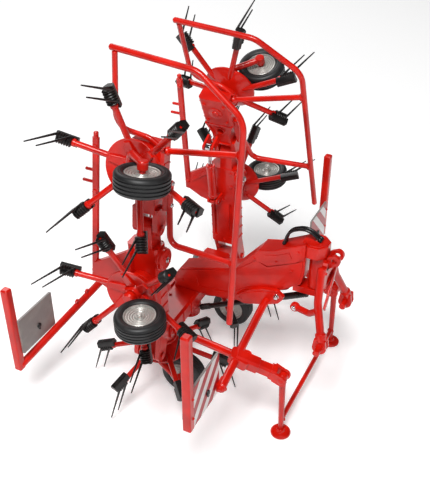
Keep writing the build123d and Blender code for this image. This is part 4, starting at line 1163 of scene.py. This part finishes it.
def make_front_carrier():
    bm = bmesh.new()
    left = facing_side(LEFT)
    for side in (RIGHT, LEFT):
        route = mirrored(side, CROSS_TUBE)
        junction, stub = route[2:]
        add_tube(bm, WORLD, route, CARRIER_R, 2.0, 24, cap=0.45)
        root = (side * STRUT_ROOT[0], *STRUT_ROOT[1:])
        add_tube(bm, WORLD, [root, junction], CARRIER_R, 1.0, 24, cap=0.1)
        add_weld(bm, WORLD, root, junction, CARRIER_R)
        start, end = [Vector(point) for point in mirrored(side, (HOLDER_START, HOLDER_END))]
        reach = (end - start).length
        holder = looking(WORLD, start, end)
        add_bar(bm, holder, HOLDER_HALF, HOLDER_HALF, 0.7, -0.4, reach * 0.55)
        add_bar(bm, holder, HOLDER_WAIST, HOLDER_WAIST, 0.6, reach * 0.5, reach)
        add_bar(bm, holder, HOLDER_HALF, HOLDER_HALF, 0.7, reach * 0.86, reach)
        add_round_plate(bm, turned(holder, 90, "X"), HOLDER_BLEND, -1.7, 1.7)
        for aside in (-HOLDER_WAIST, HOLDER_WAIST):
            add_prism(bm, left, STAND_EAR, *around(side * STAND_X + aside, 0.45))
        add_pin(bm, WORLD, (side * STAND_X, *STAND_PIN), (side * 2.5, 0, 0), 0.7, 1.4)
        place = facing_side(side)
        add_round_plate(bm, place, mirrored(side, LOBED_PLATE), POLE_HALF, LOBE_OUT)
        add_round_plate(bm, place, mirrored(side, RAISED_LOBE), LOBE_OUT - SUNK, LOBE_OUT + 0.2)
        add_bolt(bm, shifted(place, side * -31.2, 38.5, LOBE_OUT), 0.85, 0.5, material=1)
        add_bolt(bm, shifted(place, side * -18.6, 34.0, LOBE_OUT), 0.6, 0.4)
        add_weld(bm, WORLD, (side * 41.0, -29.0, 28.9), stub, CARRIER_R)
        add_prism(bm, turned(WORLD, 90, "X"), mirrored(side, WEB), *WEB_AHEAD)
    make_piece("front_carrier_frame", bm, PAINTED, "front_carrier")


STAND_EYE = [(0.76, 0), (1.45, 0), (1.6, 0.15), (1.6, 2.05), (1.45, 2.2), (0.76, 2.2), (0.76, 0)]
STAND_FOOT = [
    (0, 0), (3.0, 0), (3.3, 0.25), (3.3, 0.75), (3.0, 1.1), (1.5, 1.25), (1.15, 2.0), (0, 2.1),
]
CROSS_BAR = (STAND_PIN[0] - 0.4, 6.0)
CROSS_BAR_R = 0.8
LEG_TOP_R = 1.1
LEG_FOOT_R = 0.85


def make_stand():
    bm = bmesh.new()
    y, z = STAND_PIN
    for side in (RIGHT, LEFT):
        x = side * STAND_X
        add_lathe(bm, looking(WORLD, (x - 1.1, y, z), (x + 1.1, y, z)), STAND_EYE, 28)
        leg = [(x, y - 0.05, z - 1.3), (x, y - 0.5, 1.0)]
        add_tube(bm, WORLD, leg, LEG_TOP_R, end_radius=LEG_FOOT_R, cap=0.05)
        add_lathe(bm, shifted(WORLD, x, y - 0.5), STAND_FOOT, 44)
        add_weld(bm, WORLD, (x - side * 0.6, *CROSS_BAR), (0, *CROSS_BAR), CROSS_BAR_R)
    add_tube(bm, WORLD, [(-STAND_X, *CROSS_BAR), (STAND_X, *CROSS_BAR)], CROSS_BAR_R)
    make_piece("stand_legs_with_feet", bm, [RED], "stand_legs", bevel=0.1)


SHAFT_FRONT = (0, -40.2, 39.6)
SHAFT_BACK = (0, -1.2, 20.3)
BELL_R = 1.15
NECK_R = 0.9
INNER_TUBE_R = 0.95
RIDGES = 4
RIDGE_PITCH = 0.7


def make_drive_shaft():
    """Guard tube in two lengths, one inside the other, with ribbed bells at its ends."""
    length = (Vector(SHAFT_BACK) - Vector(SHAFT_FRONT)).length
    front_ridge = [(NECK_R, 0.0), (NECK_R, 0.2), (BELL_R, 0.35), (BELL_R, 0.55)]
    back_ridge = [(INNER_TUBE_R, 0.0), (BELL_R, 0.2), (BELL_R, 0.4), (INNER_TUBE_R, 0.55)]

    def ridges(start, ridge):
        return [(r, start + i * RIDGE_PITCH + along) for i in range(RIDGES) for r, along in ridge]

    profile = [
        (0, 0), (1.1, 0), (BELL_R, 0.2), (BELL_R, 0.9), *ridges(1.1, front_ridge),
        (BELL_R, length * 0.55), (INNER_TUBE_R, length * 0.56), *ridges(length - 3.9, back_ridge),
        (BELL_R, length - 0.9), (BELL_R, length - 0.2), (1.0, length), (0, length),
    ]
    bm = bmesh.new()
    add_lathe(bm, looking(WORLD, SHAFT_FRONT, SHAFT_BACK), profile, 28)
    make_piece("guarded_drive_shaft", bm, [BLACK], "drive_shaft", bevel=0.04)


make_front_carrier()
make_stand()
make_drive_shaft()


# Warning boards with their bars

BAR_HALF = 1.35
BAR_CAP = 0.5
BAR_CAP_SHARE = 0.72
BOLT_IN = 0.35
# Columns: x, y, foot, top
FRONT_BAR = (57.0, -26.0, 25.2, 60.4)
REAR_BAR = (49.5, 41.9, 14.8, 48.0)
BOARD_T = 0.8
SHEET_T = 0.06
SHEET_IN = 0.12
# Columns: outer edge, middle in y, middle height, width, height
FRONT_PANEL = (56.15, -27.0, 33.4, 16.6, 15.6)
REAR_PANEL = (48.65, 40.2, 28.0, 17.4, 14.0)
KNOB = [(0, 0), (0.85, 0), (0.95, 0.15), (0.9, 0.45), (0.55, 0.65), (0, 0.7)]
AHEAD = -1
BEHIND = 1


def rounded_box(x, y, radius):
    """Rectangle between pairs of limits with round corners."""
    loop = []
    for end_x, end_y, start in ((1, 1, 0), (0, 1, 90), (0, 0, 180), (1, 0, 270)):
        centre = (x[end_x] + (-radius if end_x else radius), y[end_y] + (-radius if end_y else radius))
        loop += circle(radius, 5, centre, radians(start), pi / 2)
    return loop


def make_board(node, side, panel, way):
    """Moulded board with a printed sheet on the face that looks one way, and a black knob
    through its middle."""
    edge, y, z, width, height = panel
    x = sorted((side * edge, side * (edge - width)))
    low, high = around(z, height / 2)
    place = turned(WORLD, 90, "X")
    face = BOARD_T / 2 - SHEET_T
    bm = bmesh.new()
    add_prism(bm, place, rounded_box(x, (low, high), 0.5), *around(-y, face), material=1)
    sheet = rounded_box((x[0] + SHEET_IN, x[1] - SHEET_IN), (low + SHEET_IN, high - SHEET_IN), 0.45)
    add_prism(bm, place, sheet, *sorted((-y - way * face, -y - way * (face + SHEET_T))))
    spot = (side * (edge - width * 0.52), z - height * 0.1)
    for out in (1, -1):
        level = -y + out * (BOARD_T / 2 - 0.02)
        knob = looking(place, (*spot, level), (*spot, level + out))
        add_lathe(bm, knob, KNOB, 24, material=2)
        add_prism(bm, knob, chamfered((-0.35, 0.35), (-1.5, 0.2), 0.15), 0.05, 0.5, material=2)
    make_piece("warning_" + node, bm, [BOARD, BACK, BLACK], node, bevel=0.04)


def add_upright_bar(bm, side, bar, way, bolt_levels):
    """Square bar with round edges, a tapered top and bolts on the face that looks one way."""
    x, y, low, high = bar
    place = shifted(WORLD, side * x, y)
    section = rounded_box((-BAR_HALF, BAR_HALF), (-BAR_HALF, BAR_HALF), 0.45)
    add_prism(bm, place, section, low, high - BAR_CAP)
    add_prism(bm, shifted(place, z=high - BAR_CAP), section, 0, BAR_CAP, BAR_CAP_SHARE)
    bolt_x, bolt_y = side * (x - BOLT_IN), y + way * (BAR_HALF - SUNK)
    for z in bolt_levels:
        add_bolt(bm, looking(WORLD, (bolt_x, bolt_y, z), (bolt_x, bolt_y + way, z)), *BAR_BOLT)


def make_front_bar(name):
    bm = bmesh.new()
    add_upright_bar(bm, SIDES[name], FRONT_BAR, AHEAD, (29.6, 37.2))
    make_piece("square_front_bar_" + name, bm, [RED], "front_bar_" + name, bevel=0.12)


REAR_BEND = (8, 34.0, 27.5)
REAR_END = (REAR_BAR[0], 41.5, 16.0)
LUG_TOP = 1.5
# Arm to the beam, its foot plate and two ribs: limits in x, y and z
REAR_BOXES = [((-3.0, 3.0), (8.9, 34.0), (25.2, 28.8)), ((-3.6, 3.6), (9.0, 10.4), (24.4, 29.2))]
REAR_BOXES += [(around(x, 0.25), (10.2, 32.4), (28.7, 29.1)) for x in (-1.6, 1.6)]


def make_rear_carrier():
    bm = bmesh.new()
    route = mirrored(RIGHT, (REAR_END, REAR_BEND)) + [REAR_BEND, REAR_END]
    add_tube(bm, WORLD, route, CARRIER_R, 5.0, 24, cap=0.2)
    for side in (RIGHT, LEFT):
        add_upright_bar(bm, side, REAR_BAR, BEHIND, (24.0, 32.0))
        bend, end = [Vector(point) for point in mirrored(side, (REAR_BEND, REAR_END))]
        for share in (0.22, 0.34):
            spot = bend.lerp(end, share)
            up = looking(WORLD, spot + Vector((0, 0, 0.9)), spot + Vector((0, 0, 3)))
            add_bar(bm, up, 0.9, 0.5, 0.15, 0, LUG_TOP)
            add_bolt(bm, shifted(up, z=LUG_TOP - SUNK), *SMALL_BOLT)
    for limits in REAR_BOXES:
        add_box(bm, WORLD, *limits)
    make_piece("bent_rear_carrier", bm, [RED], "rear_carrier")


for name, side in SIDES.items():
    make_board("front_board_" + name, side, FRONT_PANEL, AHEAD)
    make_board("rear_board_" + name, side, REAR_PANEL, BEHIND)
    make_front_bar(name)
make_rear_carrier()


# Hoses over the pole's head, and the cylinders on the inner beams

HOSE_ROUTE = [(-31.4, 57.0), (-32.8, 62.4), (-38.6, 64.8), (-43.6, 61.4)]
HOSE_X = 0.7
HOSE_R = 0.5
FERRULE = [(0, 0.05), (0.6, 0.05), (0.66, 0.2), (0.66, 1.0), (0.55, 1.15), (0, 1.2)]


def make_hose(name):
    points = [(SIDES[name] * HOSE_X, y, z) for y, z in HOSE_ROUTE]
    bm = bmesh.new()
    add_tube(bm, WORLD, points, HOSE_R, 5.0, 18)
    for at, towards in (points[:2], points[:1:-1]):
        add_lathe(bm, looking(WORLD, at, towards), FERRULE, 22)
    make_piece("arched_hose_" + name, bm, [HOSE], "hose_" + name, bevel=0.03)


EYE_R = 1.3
EYE_W = 1.8
EYE_BORE = 0.66
EYE_RING = [
    (EYE_BORE, 0), (EYE_R - 0.12, 0), (EYE_R, 0.12), (EYE_R, EYE_W - 0.12), (EYE_R - 0.12, EYE_W),
    (EYE_BORE, EYE_W), (EYE_BORE, 0),
]
# Heights along the cylinder count from its foot's pin
BARREL_END = EYE_R + 14.4
BARREL = [
    (0, EYE_R - 0.15), (1.0, EYE_R - 0.15), (1.35, EYE_R + 0.4), (1.6, EYE_R + 0.6), (1.6, EYE_R + 1.6),
    (1.45, EYE_R + 1.7), (1.45, BARREL_END - 1.9), (1.6, BARREL_END - 1.8), (1.6, BARREL_END - 0.15),
    (1.45, BARREL_END), (0.81, BARREL_END), (0.81, EYE_R + 2.4), (0, EYE_R + 2.4),
]
PORT = [(0, 0), (0.5, 0), (0.5, 0.5), (0.35, 0.6), (0, 0.65)]


def add_eye_ring(bm, centre):
    add_lathe(bm, looking(WORLD, centre + Vector((0, EYE_W / 2, 0)), centre), EYE_RING, 26)


def make_cylinder(name):
    """Barrel and bright rod on the line between the two beams' pins."""
    pins = ((UNIT["inner_" + name], CYLINDER_FOOT), (UNIT["outer_" + name], CYLINDER_EYE))
    foot, eye = [
        WORLD.inverted() @ (place @ Vector(*across(SIDES[name], [pin]))) for place, pin in pins
    ]
    along = looking(WORLD, foot, eye, (0, 1, 0))
    bm = bmesh.new()
    add_eye_ring(bm, foot)
    add_lathe(bm, along, BARREL, 32)
    add_lathe(bm, looking(along, (1.3, 0, EYE_R + 2.4), (3, 0, EYE_R + 2.4)), PORT, 16)
    make_piece("cylinder_barrel_piece_" + name, bm, [RED], "cylinder_barrel_" + name, bevel=0.05)
    near_eye = (eye - foot).length - EYE_R
    rod = [
        (0, EYE_R + 6.0), (0.6, EYE_R + 6.0), (0.75, EYE_R + 6.2), (0.75, near_eye - 0.4),
        (1.05, near_eye - 0.3), (1.05, near_eye + 0.2), (0, near_eye + 0.2),
    ]
    bm = bmesh.new()
    add_eye_ring(bm, eye)
    add_lathe(bm, along, rod, 26)
    make_piece("cylinder_rod_piece_" + name, bm, [BRIGHT], "cylinder_rod_" + name, 0.04)


for name in SIDES:
    make_hose(name)
for name in SIDES:
    make_cylinder(name)


# Studio

CAMERA_AT = (-191.97, -100.3, 193.95)
CAMERA_AZIMUTH = 64.0
CAMERA_DOWN = 34.12
FOCAL_PIXELS = 768.4
PICTURE_HEIGHT = 488
SENSOR = 36.0
FLOOR_HALF = 3
FLOOR_GLOW = 0.3
WORLD_LIGHT = 0.07
LAMP_AIM = Vector((0, 0, 0.05))


def make_camera():
    """Camera at the place and with the lens that were fitted to the photograph."""
    data = bpy.data.cameras.new("camera")
    data.sensor_width = SENSOR
    data.lens = FOCAL_PIXELS / PICTURE_HEIGHT * SENSOR
    data.clip_start = 0.005
    data.clip_end = 10
    camera = add_object("camera", data)
    camera.location = WORLD @ Vector(CAMERA_AT)
    camera.rotation_euler = (radians(90 - CAMERA_DOWN), 0, radians(-CAMERA_AZIMUTH))
    bpy.context.scene.camera = camera


def white_floor():
    """Matt white paper sweep. It shows white to the camera and to reflections, and keeps the shadow."""
    material = new_material("white_paper_sweep")
    paper = add_node(material, "ShaderNodeBsdfDiffuse", {"Color": linear("#F4F4F4")}).outputs[0]
    shine = {"Color": linear("#FFFFFF"), "Strength": FLOOR_GLOW}
    glow = add_node(material, "ShaderNodeEmission", shine).outputs[0]
    rays = add_node(material, "ShaderNodeLightPath").outputs
    seen = maths(material, "MAXIMUM", rays["Is Camera Ray"], rays["Is Glossy Ray"])
    both = add_node(material, "ShaderNodeAddShader", links={0: paper, 1: glow}).outputs[0]
    finish_material(material, add_node(material, "ShaderNodeMixShader", links={0: seen, 1: paper, 2: both}))
    bm = bmesh.new()
    corners = [(x * FLOOR_HALF, y * FLOOR_HALF, 0) for x, y in ((-1, -1), (1, -1), (1, 1), (-1, 1))]
    add_faces(bm, Matrix.Identity(4), corners, [(0, 1, 2, 3)])
    floor = add_mesh_object("floor", bm, [material])


def soft_lamp(name, place, size, power):
    """Square soft box aimed at the middle of the model."""
    data = bpy.data.lights.new(name, "AREA")
    data.shape = "SQUARE"
    data.size = size
    data.energy = power
    lamp = add_object(name, data)
    lamp.location = place
    lamp.rotation_euler = (LAMP_AIM - Vector(place)).to_track_quat("-Z", "Y").to_euler()


def white_world():
    """White to the camera, and only a faint light on the model."""
    world = bpy.data.worlds.new("studio")
    world.use_nodes = True
    world.node_tree.nodes.clear()
    rays = add_node(world, "ShaderNodeLightPath").outputs
    level = between(world, rays["Is Camera Ray"], WORLD_LIGHT, 1.0)
    white = {"Color": linear("#FFFFFF")}
    background = add_node(world, "ShaderNodeBackground", white, {"Strength": level})
    add_node(world, "ShaderNodeOutputWorld", links={"Surface": background.outputs[0]})
    bpy.context.scene.world = world


make_camera()
white_floor()
white_world()
soft_lamp("key_from_the_left", (-0.45, -0.1, 0.8), 0.3, 7.6)
soft_lamp("fill_from_the_front", (-0.35, -0.75, 0.35), 0.5, 0.8)
soft_lamp("rim_from_behind", (0.5, 0.5, 0.6), 0.4, 2.2)
bpy.context.scene.view_settings.view_transform = "Standard"
